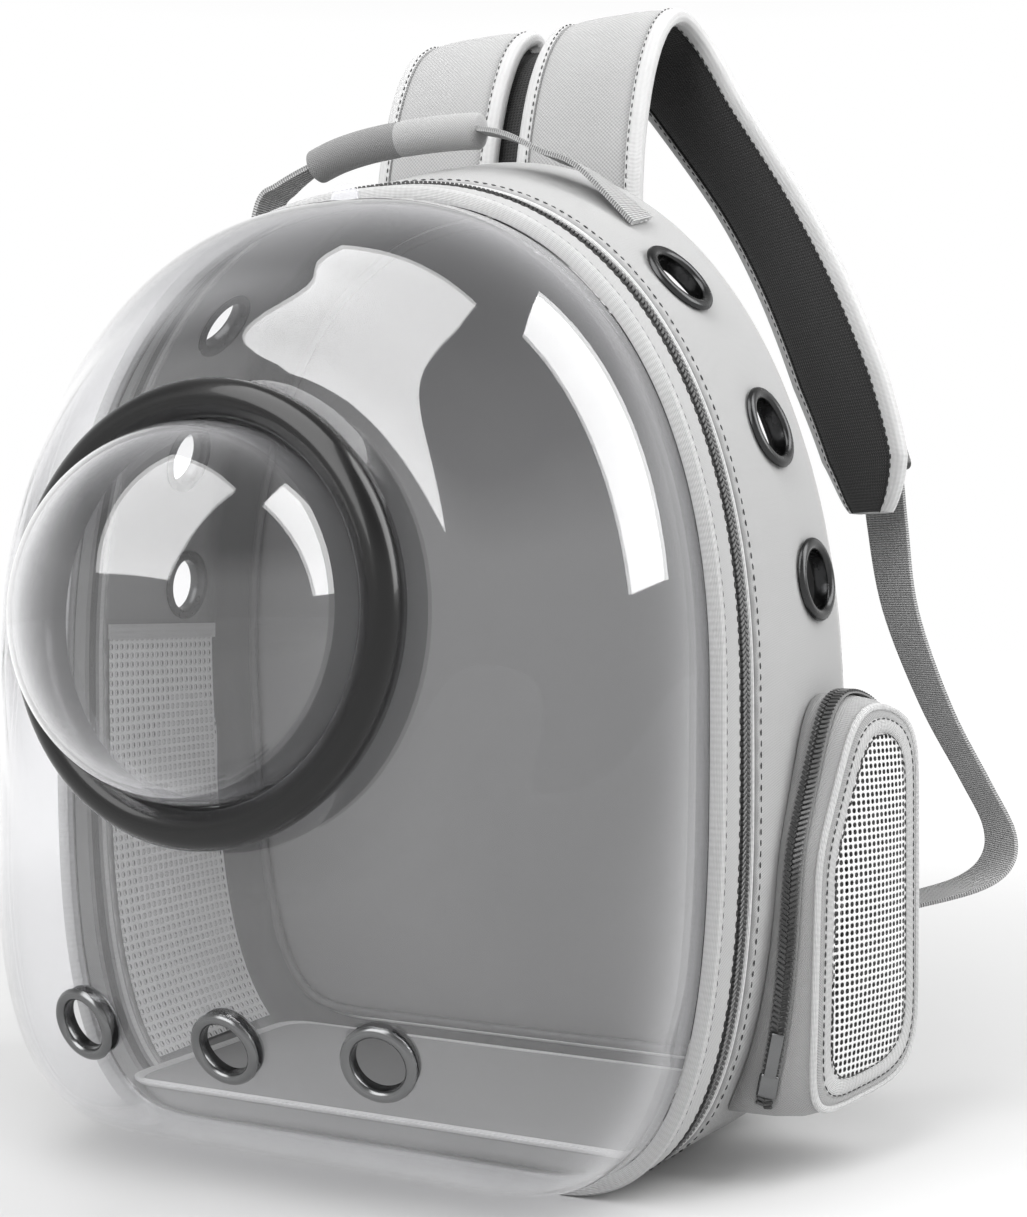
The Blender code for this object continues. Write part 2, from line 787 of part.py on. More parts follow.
def rounded_outline(corners, steps):
    """A closed outline of arcs, given as ((u, v), radius, points on the side that follows)."""
    arcs = []
    count = len(corners)
    for index, (corner, radius, between) in enumerate(corners):
        here = Vector(corner)
        to_before = (Vector(corners[index - 1][0]) - here).normalized()
        to_after = (Vector(corners[(index + 1) % count][0]) - here).normalized()
        half = 0.5 * to_before.angle(to_after)
        centre = here + (to_before + to_after).normalized() * (radius / math.sin(half))
        start = here + to_before * (radius / math.tan(half)) - centre
        end = here + to_after * (radius / math.tan(half)) - centre
        sweep = -start.angle_signed(end)
        arc = []
        for step in range(steps + 1):
            cosine = math.cos(sweep * step / steps)
            sine = math.sin(sweep * step / steps)
            turned_to = Vector((cosine * start.x - sine * start.y, sine * start.x + cosine * start.y))
            arc.append(centre + turned_to)
        arcs.append(arc)
    points = []
    for index, arc in enumerate(arcs):
        following = arcs[(index + 1) % count][0]
        between = corners[index][2]
        points += arc
        for step in range(1, between + 1):
            points.append(arc[-1].lerp(following, step / (between + 1)))
    return [(point.x, point.y) for point in points]


def pocket_outline(inset):
    """The pocket's outline on the pack's side, as (y, z) pairs, moved in by a distance."""
    low = POCKET_LOW_SHARE * BACK_HEIGHT
    high = POCKET_HIGH_SHARE * BACK_HEIGHT
    front = depth_y(POCKET_FRONT_SHARE, low)
    back = depth_y(POCKET_BACK_SHARE, high)
    width = back - front
    height = high - low
    sharp = [(front + row[0] * width, low + row[1] * height) for row in POCKET_CORNERS]
    corners = []
    for corner, (across, up, radius, between) in zip(grow(sharp, -inset), POCKET_CORNERS):
        corners.append((corner, max(POCKET_LEAST_RADIUS, radius * width - inset), between))
    return rounded_outline(corners, POCKET_ARC_STEPS)


def pocket_zip_points():
    """Places in the pocket's outline that its zip follows: over the top and down the front."""
    arc = POCKET_ARC_STEPS + 1
    first = 2 * arc + POCKET_CORNERS[0][3] + POCKET_CORNERS[1][3]
    count = len(pocket_outline(0.0))
    return [index % count for index in range(first, count + POCKET_ARC_STEPS)]


def pocket_face_x(y):
    """X of the pocket's outer face, which stands further out towards the back."""
    low = POCKET_LOW_SHARE * BACK_HEIGHT
    front = depth_y(POCKET_FRONT_SHARE, low)
    back = depth_y(POCKET_BACK_SHARE, low)
    share = (y - front) / (back - front)
    return BACK_HALF_WIDTH + mix(POCKET_FRONT_PROUD, POCKET_BACK_PROUD, share)


def back_drop(y, z):
    """How far the rounded back edge falls away from the straight side."""
    share = (y - FRONT_Y) / mix(BASE_DEPTH, TOP_DEPTH, z / BACK_HEIGHT)
    drop = 0.0
    for (share0, inset0), (share1, inset1) in zip(GUSSET_PROFILE, GUSSET_PROFILE[1:]):
        if share0 < share <= share1:
            drop = -EDGE_ROUND * mix(inset0, inset1, (share - share0) / (share1 - share0))
    return drop


def pocket_seat_x(y, z):
    """X where the pocket's rim meets the pack's side."""
    share = (y - FRONT_Y) / mix(BASE_DEPTH, TOP_DEPTH, z / BACK_HEIGHT)
    return side_point(z, min(share, 1.0)).x + POCKET_SEAT_GAP + back_drop(y, z)


def make_pocket(side, word, finish):
    """The mesh-faced side pocket: an open-backed tray whose rim sits on the gusset."""
    rows = []
    wall = POCKET_WALL
    bend = POCKET_BEND_LEVEL
    for inset, level in ((0.0, 0.0), (0.0, bend), (POCKET_SHOULDER, 1.0), (POCKET_BORDER, 1.0)):
        rows.append((inset, level, 0.0))
    for inset, level in ((POCKET_BORDER, 1.0), (POCKET_SHOULDER, 1.0), (wall, bend), (wall, 0.0)):
        rows.append((inset, level, wall))
    loops = []
    for inset, level, under in rows:
        loop = []
        for y, z in pocket_outline(inset):
            seat = pocket_seat_x(y, z)
            face = pocket_face_x(y) - under
            loop.append(Vector((side * mix(seat, face, level), y, z)))
        loops.append(loop)
    return make_object("side_pocket_" + word, loft(loops, closed_round=True), finish)


def make_pocket_mesh(side, word, finish):
    loops = []
    sunk = 0.5 * (POCKET_WALL - MESH_THICKNESS)
    for under in (sunk, sunk + MESH_THICKNESS):
        loop = []
        for y, z in pocket_outline(POCKET_BORDER + GAP):
            loop.append(Vector((side * (pocket_face_x(y) - under), y, z)))
        loops.append(loop)
    return make_object("pocket_mesh_" + word, loft(loops), finish)


def make_pocket_zip(side, word, finish):
    """The zip tape that runs up the pocket's front edge and over its top."""
    outer_points = pocket_outline(-GAP)
    far_points = pocket_outline(-GAP - POCKET_ZIP_THICKNESS)
    loops = []
    for index in pocket_zip_points():
        near = outer_points[index]
        far = far_points[index]
        base_near = pocket_seat_x(*near) + GAP
        base_far = pocket_seat_x(*far) + GAP
        loops.append([
            Vector((side * base_near, *near)),
            Vector((side * (base_near + POCKET_ZIP_WIDTH), *near)),
            Vector((side * (base_far + POCKET_ZIP_WIDTH), *far)),
            Vector((side * base_far, *far)),
        ])
    return make_object("pocket_zip_" + word, loft(loops), finish)


def window_rows(inset):
    """The side window behind the pocket, moved in by a distance: height, front and back depth share."""
    low = WINDOW_LOW_SHARE * BACK_HEIGHT
    shoulder = WINDOW_SHOULDER_SHARE * BACK_HEIGHT
    high = WINDOW_HIGH_SHARE * BACK_HEIGHT
    margin = 2 * inset / BASE_DEPTH
    back = WINDOW_BACK_SHARE - margin
    return (
        (low + inset, WINDOW_FRONT_SHARE + margin, back),
        (mix(low, shoulder, 0.5), WINDOW_FRONT_SHARE + margin, back),
        (shoulder, WINDOW_FRONT_SHARE + margin, back),
        (mix(shoulder, high, 0.5), mix(WINDOW_FRONT_SHARE, WINDOW_TOP_FRONT_SHARE, 0.5) + margin, back),
        (high - inset, WINDOW_TOP_FRONT_SHARE + margin, back),
    )


def window_cutter(side, word):
    front = [(share, z) for z, share, _ in window_rows(0.0)]
    back = [(share, z) for z, _, share in window_rows(0.0)]
    rows = []
    for out in (CUT_REACH, -CUT_REACH):
        loop = []
        for share, z in front + back[::-1]:
            point = skin_at(z, share, side=side)[0]
            loop.append(Vector((point.x + side * out, point.y, z)))
        rows.append(loop)
    return cutter("cut_window_" + word, loft(rows))


def make_window_mesh(side, word, finish):
    """The mesh panel that fills the window in the gusset, in the middle of its wall."""
    loops = []
    for z, front, back in window_rows(GAP):
        loop = []
        for share, out in ((front, 0.5), (back, 0.5), (back, -0.5), (front, -0.5)):
            middle = -0.5 * WALL
            loop.append(skin_at(z, share, middle + out * MESH_THICKNESS, side)[0])
        loops.append(loop)
    return make_object("window_mesh_" + word, loft(loops), finish)


def make_side_pieces():
    cloth = material("pocket cloth", (0.60, 0.60, 0.61), 0.85)
    net = material("net", (0.82, 0.82, 0.83), 0.8)
    tape = material("pocket zip", (0.28, 0.28, 0.29), 0.7)
    for side, word in ((1, "right"), (-1, "left")):
        make_pocket(side, word, cloth)
        make_pocket_mesh(side, word, net)
        make_pocket_zip(side, word, tape)
        make_window_mesh(side, word, net)


def strap_frames():
    """Centre, width direction and width of each section of the right strap."""
    frames = []
    for across, behind, up, turn, width in STRAP_SECTIONS:
        x = 0.5 * STRAP_SPACING + across * BACK_HALF_WIDTH
        centre = Vector((x, FRONT_Y + behind * BASE_DEPTH, up * BACK_HEIGHT))
        turned_by = math.radians(turn)
        wide = Vector((math.cos(turned_by), math.sin(turned_by), 0.0))
        frames.append((centre, wide, width * STRAP_WIDTH))
    return frames


def thick_directions(frames):
    """For each section, the direction through the strap, away from the pack's back."""
    found = []
    for index, (centre, wide, width) in enumerate(frames):
        before = frames[max(0, index - 1)][0]
        after = frames[min(len(frames) - 1, index + 1)][0]
        along = (after - before).normalized()
        found.append(wide.cross(along).normalized())
    return found


def ribbon(frames, thickness, side, shift=0.0, corners=FLAT_SECTION, sections=None):
    """A strip along the first sections of frames of centre, width direction and width."""
    loops = []
    for (centre, wide, width), through in list(zip(frames, thick_directions(frames)))[:sections]:
        middle = centre + through * shift
        half = 0.5 * width
        edge = 0.5 * thickness
        loop = []
        for across, out in corners:
            point = middle + wide * (across * half) + through * (out * edge)
            loop.append(Vector((side * point.x, point.y, point.z)))
        loops.append(loop)
    return loft(loops)


def make_straps():
    cloth = material("strap cloth", (0.66, 0.66, 0.67), 0.85)
    frames = strap_frames()
    for side, word in ((1, "right"), (-1, "left")):
        bm = ribbon(frames, STRAP_THICKNESS, side, corners=SOFT_SECTION)
        make_object("shoulder_strap_" + word, bm, cloth)


def make_yoke():
    """The black strip under the straps' parallel stretch, which shows between them."""
    frames = []
    for centre, wide, width in strap_frames():
        middle = Vector((0.0, centre.y, centre.z))
        frames.append((middle, Vector((1, 0, 0)), YOKE_WIDTH))
    shift = 0.5 * STRAP_THICKNESS + 3 * GAP + 0.5 * YOKE_THICKNESS
    bm = ribbon(frames, YOKE_THICKNESS, 1, shift=-shift, sections=YOKE_SECTIONS)
    return make_object("strap_yoke", bm, material("yoke", (0.02, 0.02, 0.02), 0.8))


def buckle_frame():
    """Placement of the right buckle: on the strap's outer face, near its end."""
    frames = strap_frames()
    through = thick_directions(frames)[BUCKLE_SECTION - 1]
    upper = frames[BUCKLE_SECTION - 1][0]
    lower = frames[BUCKLE_SECTION][0]
    along = (lower - upper).normalized()
    wide = frames[BUCKLE_SECTION][1]
    outward = along.cross(wide).normalized()
    if outward.y < 0:
        outward.negate()
    reach = 0.5 * STRAP_THICKNESS + 0.5 * BUCKLE_THICKNESS + GAP
    centre = mix(upper, lower, BUCKLE_SHARE) + outward * reach
    return centre, wide, along, outward


def make_buckles():
    finish = material("buckle", (0.02, 0.02, 0.02), 0.35)
    centre, wide, along, outward = buckle_frame()
    half_width = 0.5 * BUCKLE_WIDTH
    half_height = 0.5 * BUCKLE_HEIGHT
    bar = BUCKLE_BAR
    for side, word in ((1, "right"), (-1, "left")):
        rings = []
        for across, down, out in (
            (half_width, half_height, -1),
            (half_width, half_height, 1),
            (half_width - bar, half_height - bar, 1),
            (half_width - bar, half_height - bar, -1),
        ):
            loop = []
            for u, v in BUCKLE_CORNERS:
                point = centre + wide * (u * across) + along * (v * down)
                point = point + outward * (0.5 * BUCKLE_THICKNESS * out)
                loop.append(Vector((side * point.x, point.y, point.z)))
            rings.append(loop)
        make_object("strap_buckle_" + word, loft(rings, closed_round=True), finish)


def make_webbings():
    finish = material("webbing", (0.55, 0.55, 0.56), 0.8)
    frames = []
    centre, wide, along, outward = buckle_frame()
    start = centre + along * (0.5 * BUCKLE_HEIGHT + 4 * GAP)
    frames.append((start, wide, WEBBING_WIDTH))
    for across, behind, up, turn in WEBBING_SECTIONS:
        point = Vector((across * BACK_HALF_WIDTH, FRONT_Y + behind * BASE_DEPTH, up * BACK_HEIGHT))
        turned_by = math.radians(turn)
        frames.append((point, Vector((math.cos(turned_by), math.sin(turned_by), 0.0)), WEBBING_WIDTH))
    seam = side_point(WEBBING_END_HEIGHT_SHARE * BACK_HEIGHT, WEBBING_END_DEPTH_SHARE)
    seam.x += back_drop(seam.y, seam.z)
    corner = math.radians(45.0)
    outward = Vector((math.cos(corner), math.sin(corner), 0.0))
    across = Vector((math.cos(corner), -math.sin(corner), 0.0))
    frames.append((seam + outward * 2 * GAP, across, WEBBING_WIDTH))
    for side, word in ((1, "right"), (-1, "left")):
        make_object("strap_webbing_" + word, ribbon(frames, WEBBING_THICKNESS, side), finish)


def top_point(x, share):
    """The point on the pack's top at a distance from its middle and a depth share."""
    points = right_side(outline(share))
    found = 0.0
    for (x0, z0), (x1, z1) in zip(points, points[1:]):
        if z0 > RIM_WIDEST_Z and x1 <= abs(x) <= x0:
            found = mix(z0, z1, (x0 - abs(x)) / (x0 - x1))
    return Vector((x, depth_y(share, found), found))


def handle_anchor(x, extra):
    """Where an end of the handle is sewn down, with its width along the slope of the top."""
    centre = top_point(x, HANDLE_DEPTH_SHARE)
    small = 0.05
    wide = top_point(x, HANDLE_DEPTH_SHARE + small) - top_point(x, HANDLE_DEPTH_SHARE - small)
    centre.z += HANDLE_WEBBING_THICKNESS + 2 * GAP
    return centre, wide.normalized(), HANDLE_WEBBING_WIDTH + extra


def handle_frames(extra=0.0):
    """Centre, width direction and width of the handle's webbing, from anchor to anchor."""
    top = top_point(0.0, HANDLE_DEPTH_SHARE)
    frames = [handle_anchor(-HANDLE_LEFT_SHARE * HANDLE_HALF_SPAN, extra)]
    for across, up, width in HANDLE_SECTIONS:
        centre = Vector((across * HANDLE_HALF_SPAN, top.y, top.z + up * HANDLE_RISE))
        frames.append((centre, Vector((0, 1, 0)), width * HANDLE_WEBBING_WIDTH + extra))
    frames.append(handle_anchor(HANDLE_HALF_SPAN, extra))
    return frames


def make_handle():
    frames = handle_frames()
    webbing = ribbon(frames, HANDLE_WEBBING_THICKNESS, 1)
    make_object("handle_webbing", webbing, material("handle webbing", (0.60, 0.60, 0.61), 0.8))
    inside = handle_frames(extra=4 * GAP)
    grip_frames = frames[GRIP_FIRST + 1:GRIP_LAST + 2]
    loops = []
    for (centre, wide, width), through in zip(grip_frames, thick_directions(grip_frames)):
        loop = []
        for step in range(GRIP_SIDES):
            turn = 2 * math.pi * step / GRIP_SIDES
            loop.append(centre + GRIP_RADIUS * (math.cos(turn) * wide + math.sin(turn) * through))
        loops.append(loop)
    grip = make_object("handle_grip", loft(loops), material("grip", (0.45, 0.45, 0.46), 0.8), 50)
    bore = cutter("cut_grip", ribbon(inside[1:-1], HANDLE_WEBBING_THICKNESS + 4 * GAP, 1))
    cut(grip, bore)
    return grip


def main():
    clear_scene()
    make_side_gusset()
    make_front_frame()
    make_door_zip()
    make_gusset_piping()
    make_front_shell()
    make_shell_tab()
    make_dome_ring()
    make_bubble_dome()
    make_eyelets()
    make_floor_pad()
    make_back_panel()
    make_back_piping()
    make_side_pieces()
    make_straps()
    make_yoke()
    make_buckles()
    make_webbings()
    make_handle()


main()
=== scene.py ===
# %% [markdown]
# # Dressing a clear-fronted pet carrier
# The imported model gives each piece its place. This script makes the surfaces that show:
# cloth with seams and puckers, zips with teeth, netting, padded straps and clear mouldings.
# Every length is in metres, +Z is up, and the clear front looks towards -Y.

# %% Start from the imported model
import math

import bmesh
import bpy
from mathutils import Matrix, Vector, noise


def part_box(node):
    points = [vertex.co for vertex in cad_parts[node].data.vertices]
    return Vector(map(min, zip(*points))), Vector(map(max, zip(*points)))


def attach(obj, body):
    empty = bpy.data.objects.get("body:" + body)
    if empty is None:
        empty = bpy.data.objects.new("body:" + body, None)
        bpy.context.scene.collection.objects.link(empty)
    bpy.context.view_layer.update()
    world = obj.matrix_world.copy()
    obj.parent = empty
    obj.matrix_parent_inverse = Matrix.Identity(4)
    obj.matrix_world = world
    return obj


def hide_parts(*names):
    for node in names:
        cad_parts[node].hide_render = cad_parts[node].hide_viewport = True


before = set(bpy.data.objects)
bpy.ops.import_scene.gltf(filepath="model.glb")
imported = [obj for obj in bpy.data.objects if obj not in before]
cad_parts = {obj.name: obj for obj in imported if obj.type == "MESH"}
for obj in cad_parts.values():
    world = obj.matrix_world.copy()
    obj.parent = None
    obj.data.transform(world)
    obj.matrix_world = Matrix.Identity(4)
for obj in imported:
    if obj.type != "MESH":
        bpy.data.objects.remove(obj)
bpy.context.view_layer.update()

SIDES = ((1, "right"), (-1, "left"))

# %% [markdown]
# ## The camera
# The camera was fitted to the traced edges of the photograph: a long lens at the height of
# the pack's middle, turned a little to its right. It is made first, because everything else
# is judged through it. The Standard view keeps a white ground white, as in the photograph.

# %% Camera
CAMERA_PLACE = Vector((0.40075, -0.69902, 0.22443))
CAMERA_TARGET = Vector((0.07142, -0.075, 0.22301))
CAMERA_LENS = 54.24
camera_data = bpy.data.cameras.new("camera")
camera_data.lens = CAMERA_LENS
camera_data.sensor_width = 36.0
camera_data.sensor_fit = "AUTO"
bpy.context.scene.view_settings.view_transform = "Standard"
camera = bpy.data.objects.new("camera", camera_data)
camera.location = CAMERA_PLACE
camera.rotation_euler = (CAMERA_TARGET - CAMERA_PLACE).to_track_quat("-Z", "Y").to_euler()
bpy.context.scene.collection.objects.link(camera)
bpy.context.scene.camera = camera
print("camera stands", round((CAMERA_TARGET - CAMERA_PLACE).length, 3), "m away")

# %% [markdown]
# ## The form of the pack
# The pack is one outline that grows from the front rim to the back. Its lower corners are
# squarer than its top, so the outline is two superellipses round a flat base. The same few
# sizes drive every hoop of cloth, zip and piping that runs round it.

# %% Driving sizes of the body
RIM_HEIGHT = 0.391
RIM_HALF_WIDTH = 0.157
RIM_WIDEST_Z = 0.192
BACK_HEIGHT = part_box("side_gusset")[1].z
BACK_HALF_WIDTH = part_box("side_gusset")[1].x
BACK_WIDEST_Z = 0.178
BASE_DEPTH = 0.150
TOP_DEPTH = 0.115
FRONT_Y = -0.5 * BASE_DEPTH
EDGE_ROUND = 0.016
EDGE_SHARE = 0.84
WALL = 0.003
BASE_FLAT_SHARE = 0.45
UPPER_POWER = 2.25
LOWER_POWER = 3.3
AROUND = 420
print("pack", round(BACK_HEIGHT, 3), "m high and", round(2 * BACK_HALF_WIDTH, 3), "m wide")


# %% Points along the outline
def mix(low, high, share):
    return low + (high - low) * share


def mirrored(point, side):
    """A right-hand point or direction as it is (side 1), or on the left (side -1)."""
    return Vector((side * point.x, point.y, point.z))


def even_points(points, count):
    """Evenly spaced points along a closed line, starting from its first point."""
    closed = points + points[:1]
    reaches = [0.0]
    for first, second in zip(closed, closed[1:]):
        reaches.append(reaches[-1] + (second - first).length)
    found = []
    piece = 0
    for index in range(count):
        reach = reaches[-1] * index / count
        while reaches[piece + 1] < reach:
            piece += 1
        share = (reach - reaches[piece]) / (reaches[piece + 1] - reaches[piece])
        found.append(closed[piece].lerp(closed[piece + 1], share))
    return found


OUTLINE_STEPS = 90
kept_outlines = {}


def outline(share, count=AROUND):
    """The pack's outline at a depth share, from the middle of the base round by the right."""
    if (share, count) in kept_outlines:
        return kept_outlines[share, count]
    grown = min(1.0, max(0.0, share) / EDGE_SHARE)
    half_width = mix(RIM_HALF_WIDTH, BACK_HALF_WIDTH, grown)
    height = mix(RIM_HEIGHT, BACK_HEIGHT, grown)
    widest = mix(RIM_WIDEST_Z, BACK_WIDEST_Z, grown)
    flat = BASE_FLAT_SHARE * half_width
    right = [Vector((0.0, 0.0, 0.0))]
    for step in range(OUTLINE_STEPS + 1):
        turn = 0.5 * math.pi * step / OUTLINE_STEPS
        x = flat + (half_width - flat) * math.sin(turn) ** (2 / LOWER_POWER)
        z = widest * (1 - max(0.0, math.cos(turn)) ** (2 / LOWER_POWER))
        right.append(Vector((x, 0.0, z)))
    for step in range(1, OUTLINE_STEPS):
        turn = 0.5 * math.pi * step / OUTLINE_STEPS
        x = half_width * math.cos(turn) ** (2 / UPPER_POWER)
        z = widest + (height - widest) * math.sin(turn) ** (2 / UPPER_POWER)
        right.append(Vector((x, 0.0, z)))
    left = [Vector((-point.x, 0.0, point.z)) for point in reversed(right[1:])]
    kept_outlines[share, count] = even_points(right + [Vector((0.0, 0.0, height))] + left, count)
    return kept_outlines[share, count]


def outward(points, index):
    """The direction out of a closed line in the XZ plane, at one of its points."""
    along = points[(index + 1) % len(points)] - points[index - 1]
    return Vector((along.z, 0.0, -along.x)).normalized()


def depth_y(share, z):
    return FRONT_Y + share * mix(BASE_DEPTH, TOP_DEPTH, z / BACK_HEIGHT)


def ring_at(share, out, count=AROUND):
    """A closed loop round the pack at a depth share, moved out by a distance or a function."""
    base = outline(share, count)
    loop = []
    for index, point in enumerate(base):
        distance = out(index / count) if callable(out) else out
        moved = point + outward(base, index) * distance
        loop.append(Vector((moved.x, depth_y(share, moved.z), max(0.0, moved.z))))
    return loop


print("outline's top is", round(ring_at(1.0, 0.0)[AROUND // 2].z, 3), "m high at the back")

# %% [markdown]
# ## One way to skin a form
# Nearly every soft piece here is a row of rings: hoops round the pack, sections along a
# strap, or loops of a pocket. A circle is extruded edge by edge, and each new ring is set on
# its own points. Two number layers remember a vertex's row and column, so the cloth's UV map
# can be written in metres, and threads keep their size everywhere.


# %% Skin rows of rings
def skin(rows, caps=False, closed=False, zone=None):
    """A mesh of rings extruded one from the next. zone(row, column) picks a material."""
    rows = rows + rows[:1] if closed else rows
    count = len(rows[0])
    bm = bmesh.new()
    column = bm.verts.layers.int.new("column")
    row = bm.verts.layers.int.new("row")
    ring = bmesh.ops.create_circle(bm, radius=1.0, segments=count)["verts"]
    for index, vert in enumerate(ring):
        vert.co = rows[0][index]
        vert[column] = index
    edges = bm.edges[:]
    for number, points in enumerate(rows[1:], 1):
        made = bmesh.ops.extrude_edge_only(bm, edges=edges)["geom"]
        edges = [item for item in made if isinstance(item, bmesh.types.BMEdge)]
        for vert in made:
            if isinstance(vert, bmesh.types.BMVert):
                vert.co = points[vert[column]]
                vert[row] = number
    map_cloth(bm, rows, row, column, zone)
    if closed:
        bmesh.ops.remove_doubles(bm, verts=bm.verts, dist=1e-6)
    if caps:
        bmesh.ops.holes_fill(bm, edges=bm.edges, sides=0)
    return bm


def map_cloth(bm, rows, row, column, zone):
    """Write the UV map in metres: along the rows by distance, and around each ring."""
    count = len(rows[0])
    middle = rows[len(rows) // 2]
    around = [0.0]
    for index in range(count):
        around.append(around[-1] + (middle[(index + 1) % count] - middle[index]).length)
    along = [0.0]
    for first, second in zip(rows, rows[1:]):
        steps = [(second[i] - first[i]).length for i in range(0, count, max(1, count // 8))]
        along.append(along[-1] + sum(steps) / len(steps))
    uv = bm.loops.layers.uv.new("cloth")
    for face in bm.faces:
        columns = [loop.vert[column] for loop in face.loops]
        wraps = max(columns) - min(columns) > 1
        for loop in face.loops:
            index = loop.vert[column]
            if wraps and index == 0:
                index = count
            loop[uv].uv = (around[index], along[loop.vert[row]])
        if zone:
            face.material_index = zone(min(loop.vert[row] for loop in face.loops), min(columns))


# %% [markdown]
# ## Putting a piece in the scene
# A finished piece sits at the origin, has its own materials and rides on a body of the
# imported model. An open skin has to face outwards before a wall gives it thickness, so its
# furthest face is tested against a point inside.


# %% Face out and place
def face_out(bm, inside):
    """Turn all the faces round if the one furthest from a point inside looks at it."""
    bm.normal_update()
    furthest = max(bm.faces, key=lambda face: (face.calc_center_median() - inside).length)
    if furthest.normal.dot(furthest.calc_center_median() - inside) < 0:
        bmesh.ops.reverse_faces(bm, faces=bm.faces)


def place(name, bm, finishes, body="pack", instead_of=(), slot=None, sharp=40.0):
    """Make the piece's object, smooth its shading and let it ride on its body."""
    mesh = bpy.data.meshes.new(name)
    bm.to_mesh(mesh)
    bm.free()
    mesh.shade_smooth()
    mesh.set_sharp_from_angle(angle=math.radians(sharp))
    for finish in finishes:
        mesh.materials.append(finish)
    piece = bpy.data.objects.new(name, mesh)
    bpy.context.scene.collection.objects.link(piece)
    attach(piece, body)
    if instead_of:
        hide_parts(*instead_of)
    print(name, len(mesh.polygons), "faces")
    return piece


def wall(piece, thickness, inner_finish=0):
    """Give an open skin its thickness, inwards."""
    solid = piece.modifiers.new("wall", "SOLIDIFY")
    solid.thickness = thickness
    solid.offset = -1.0
    solid.use_even_offset = True
    solid.material_offset = inner_finish


# %% [markdown]
# ## Finishes as expressions
# A finish is a small network of nodes. Wrapping a socket in a class with +, -, * and **
# lets the maths be written as on paper, and each operator adds its own Math node.


# %% Sockets that add and multiply
class Wire:
    """A node's output that can be used in a sum."""

    def __init__(self, finish, socket):
        self.finish = finish
        self.socket = socket

    def maths(self, operation, *values):
        inputs = dict(enumerate(values))
        return self.finish.node("ShaderNodeMath", {"operation": operation}, inputs)

    def __add__(self, other):
        return self.maths("ADD", self, other)

    def __rsub__(self, other):
        return self.maths("SUBTRACT", other, self)

    def __mul__(self, other):
        return self.maths("MULTIPLY", self, other)

    def __pow__(self, other):
        return self.maths("POWER", self, other)

    def wave(self, pitch):
        """A sine along this length, one turn for each pitch."""
        return self.maths("SINE", self * (2 * math.pi / pitch))

    def size(self):
        return self.maths("ABSOLUTE", self)

    def step(self, low, high):
        """0 below low, 1 above high, and smooth between."""
        settings = {"interpolation_type": "SMOOTHSTEP"}
        return self.finish.node("ShaderNodeMapRange", settings, {0: self, 1: low, 2: high})


# %% A finish under construction
class Finish:
    """A material: one node at a time, ending in its Principled shader."""

    def __init__(self, name, **constants):
        self.material = bpy.data.materials.new(name)
        self.material.use_nodes = True
        self.nodes = self.material.node_tree.nodes
        self.shader = self.nodes["Principled BSDF"]
        self.give(**constants)

    def give(self, **values):
        """Set or wire the Principled shader's inputs."""
        for key, value in values.items():
            self.feed(self.shader.inputs[key.replace("_", " ")], value)

    def feed(self, socket, value):
        if isinstance(value, Wire):
            self.material.node_tree.links.new(value.socket, socket)
        elif isinstance(value, tuple) and len(value) == 3 and socket.type == "RGBA":
            socket.default_value = (*value, 1.0)
        else:
            socket.default_value = value

    def node(self, kind, settings=None, inputs=None, output=0):
        made = self.nodes.new(kind)
        for key, value in (settings or {}).items():
            setattr(made, key, value)
        for key, value in (inputs or {}).items():
            self.feed(made.inputs[key], value)
        return Wire(self, made.outputs[output])

    def split(self, spot, first=0, second=1):
        """Two of a place's three coordinates."""
        parts = self.nodes.new("ShaderNodeSeparateXYZ")
        self.feed(parts.inputs[0], spot)
        return Wire(self, parts.outputs[first]), Wire(self, parts.outputs[second])

    def cloth_lengths(self):
        """The piece's own UV map, in metres: across the threads and along them."""
        return self.split(self.node("ShaderNodeUVMap", {"uv_map": "cloth"}))

    def plan_lengths(self, first, second):
        """Two of the piece's own coordinates, in metres, for a pad that lies flat."""
        return self.split(self.node("ShaderNodeTexCoord", output="Object"), first, second)

    def cloud(self, scale):
        """Slow blotches that follow the piece, from 0 to 1."""
        spot = self.node("ShaderNodeTexCoord", output="Object")
        inputs = {"Vector": spot, "Scale": scale, "Detail": 3.0}
        return self.node("ShaderNodeTexNoise", inputs=inputs)

    def shade(self, dark, light, share):
        """A colour between two, by a share."""
        settings = {"data_type": "RGBA", "clamp_factor": True}
        return self.node("ShaderNodeMix", settings, {0: share, 6: dark, 7: light}, output=2)

    def mottle(self, level, contrast, share):
        """A grey that falls as far below a level as it rises above it."""
        return self.shade(grey(level * (1 - contrast)), grey(level * (1 + contrast)), share)

    def bump(self, height, distance):
        inputs = {"Height": height, "Distance": distance, "Strength": 1.0}
        self.give(Normal=self.node("ShaderNodeBump", inputs=inputs))


def grey(level, tint=0.0):
    """A neutral colour, a touch cooler with a tint."""
    return (level * (1 - tint), level, level * (1 + tint))


# %% [markdown]
# ## Woven cloth
# The gusset, the frame, the pockets and the straps are plain woven polyester. Its threads
# cross over and under, which a product of two waves gives as bumps in a chequer. Blotches
# much wider than a thread keep a large panel from looking printed.


# %% Woven cloths
THREAD_PITCH = 0.0011
BLOTCH_SCALE = 14.0


def plain_weave(across, along, pitch):
    """Threads that pass over and under each other, from 0 to 1."""
    return across.wave(pitch) * along.wave(pitch) * 0.5 + 0.5


def woven(name, level, pitch, depth=0.00025, contrast=0.16, sheen=0.25, plan=None):
    cloth = Finish(name, Roughness=0.85, Sheen_Weight=sheen, Sheen_Roughness=0.5)
    across, along = cloth.plan_lengths(*plan) if plan else cloth.cloth_lengths()
    threads = plain_weave(across, along, pitch)
    share = threads * 0.6 + cloth.cloud(BLOTCH_SCALE) * 0.4
    cloth.give(Base_Color=cloth.mottle(level, contrast, share))
    cloth.bump(threads, depth)
    return cloth.material


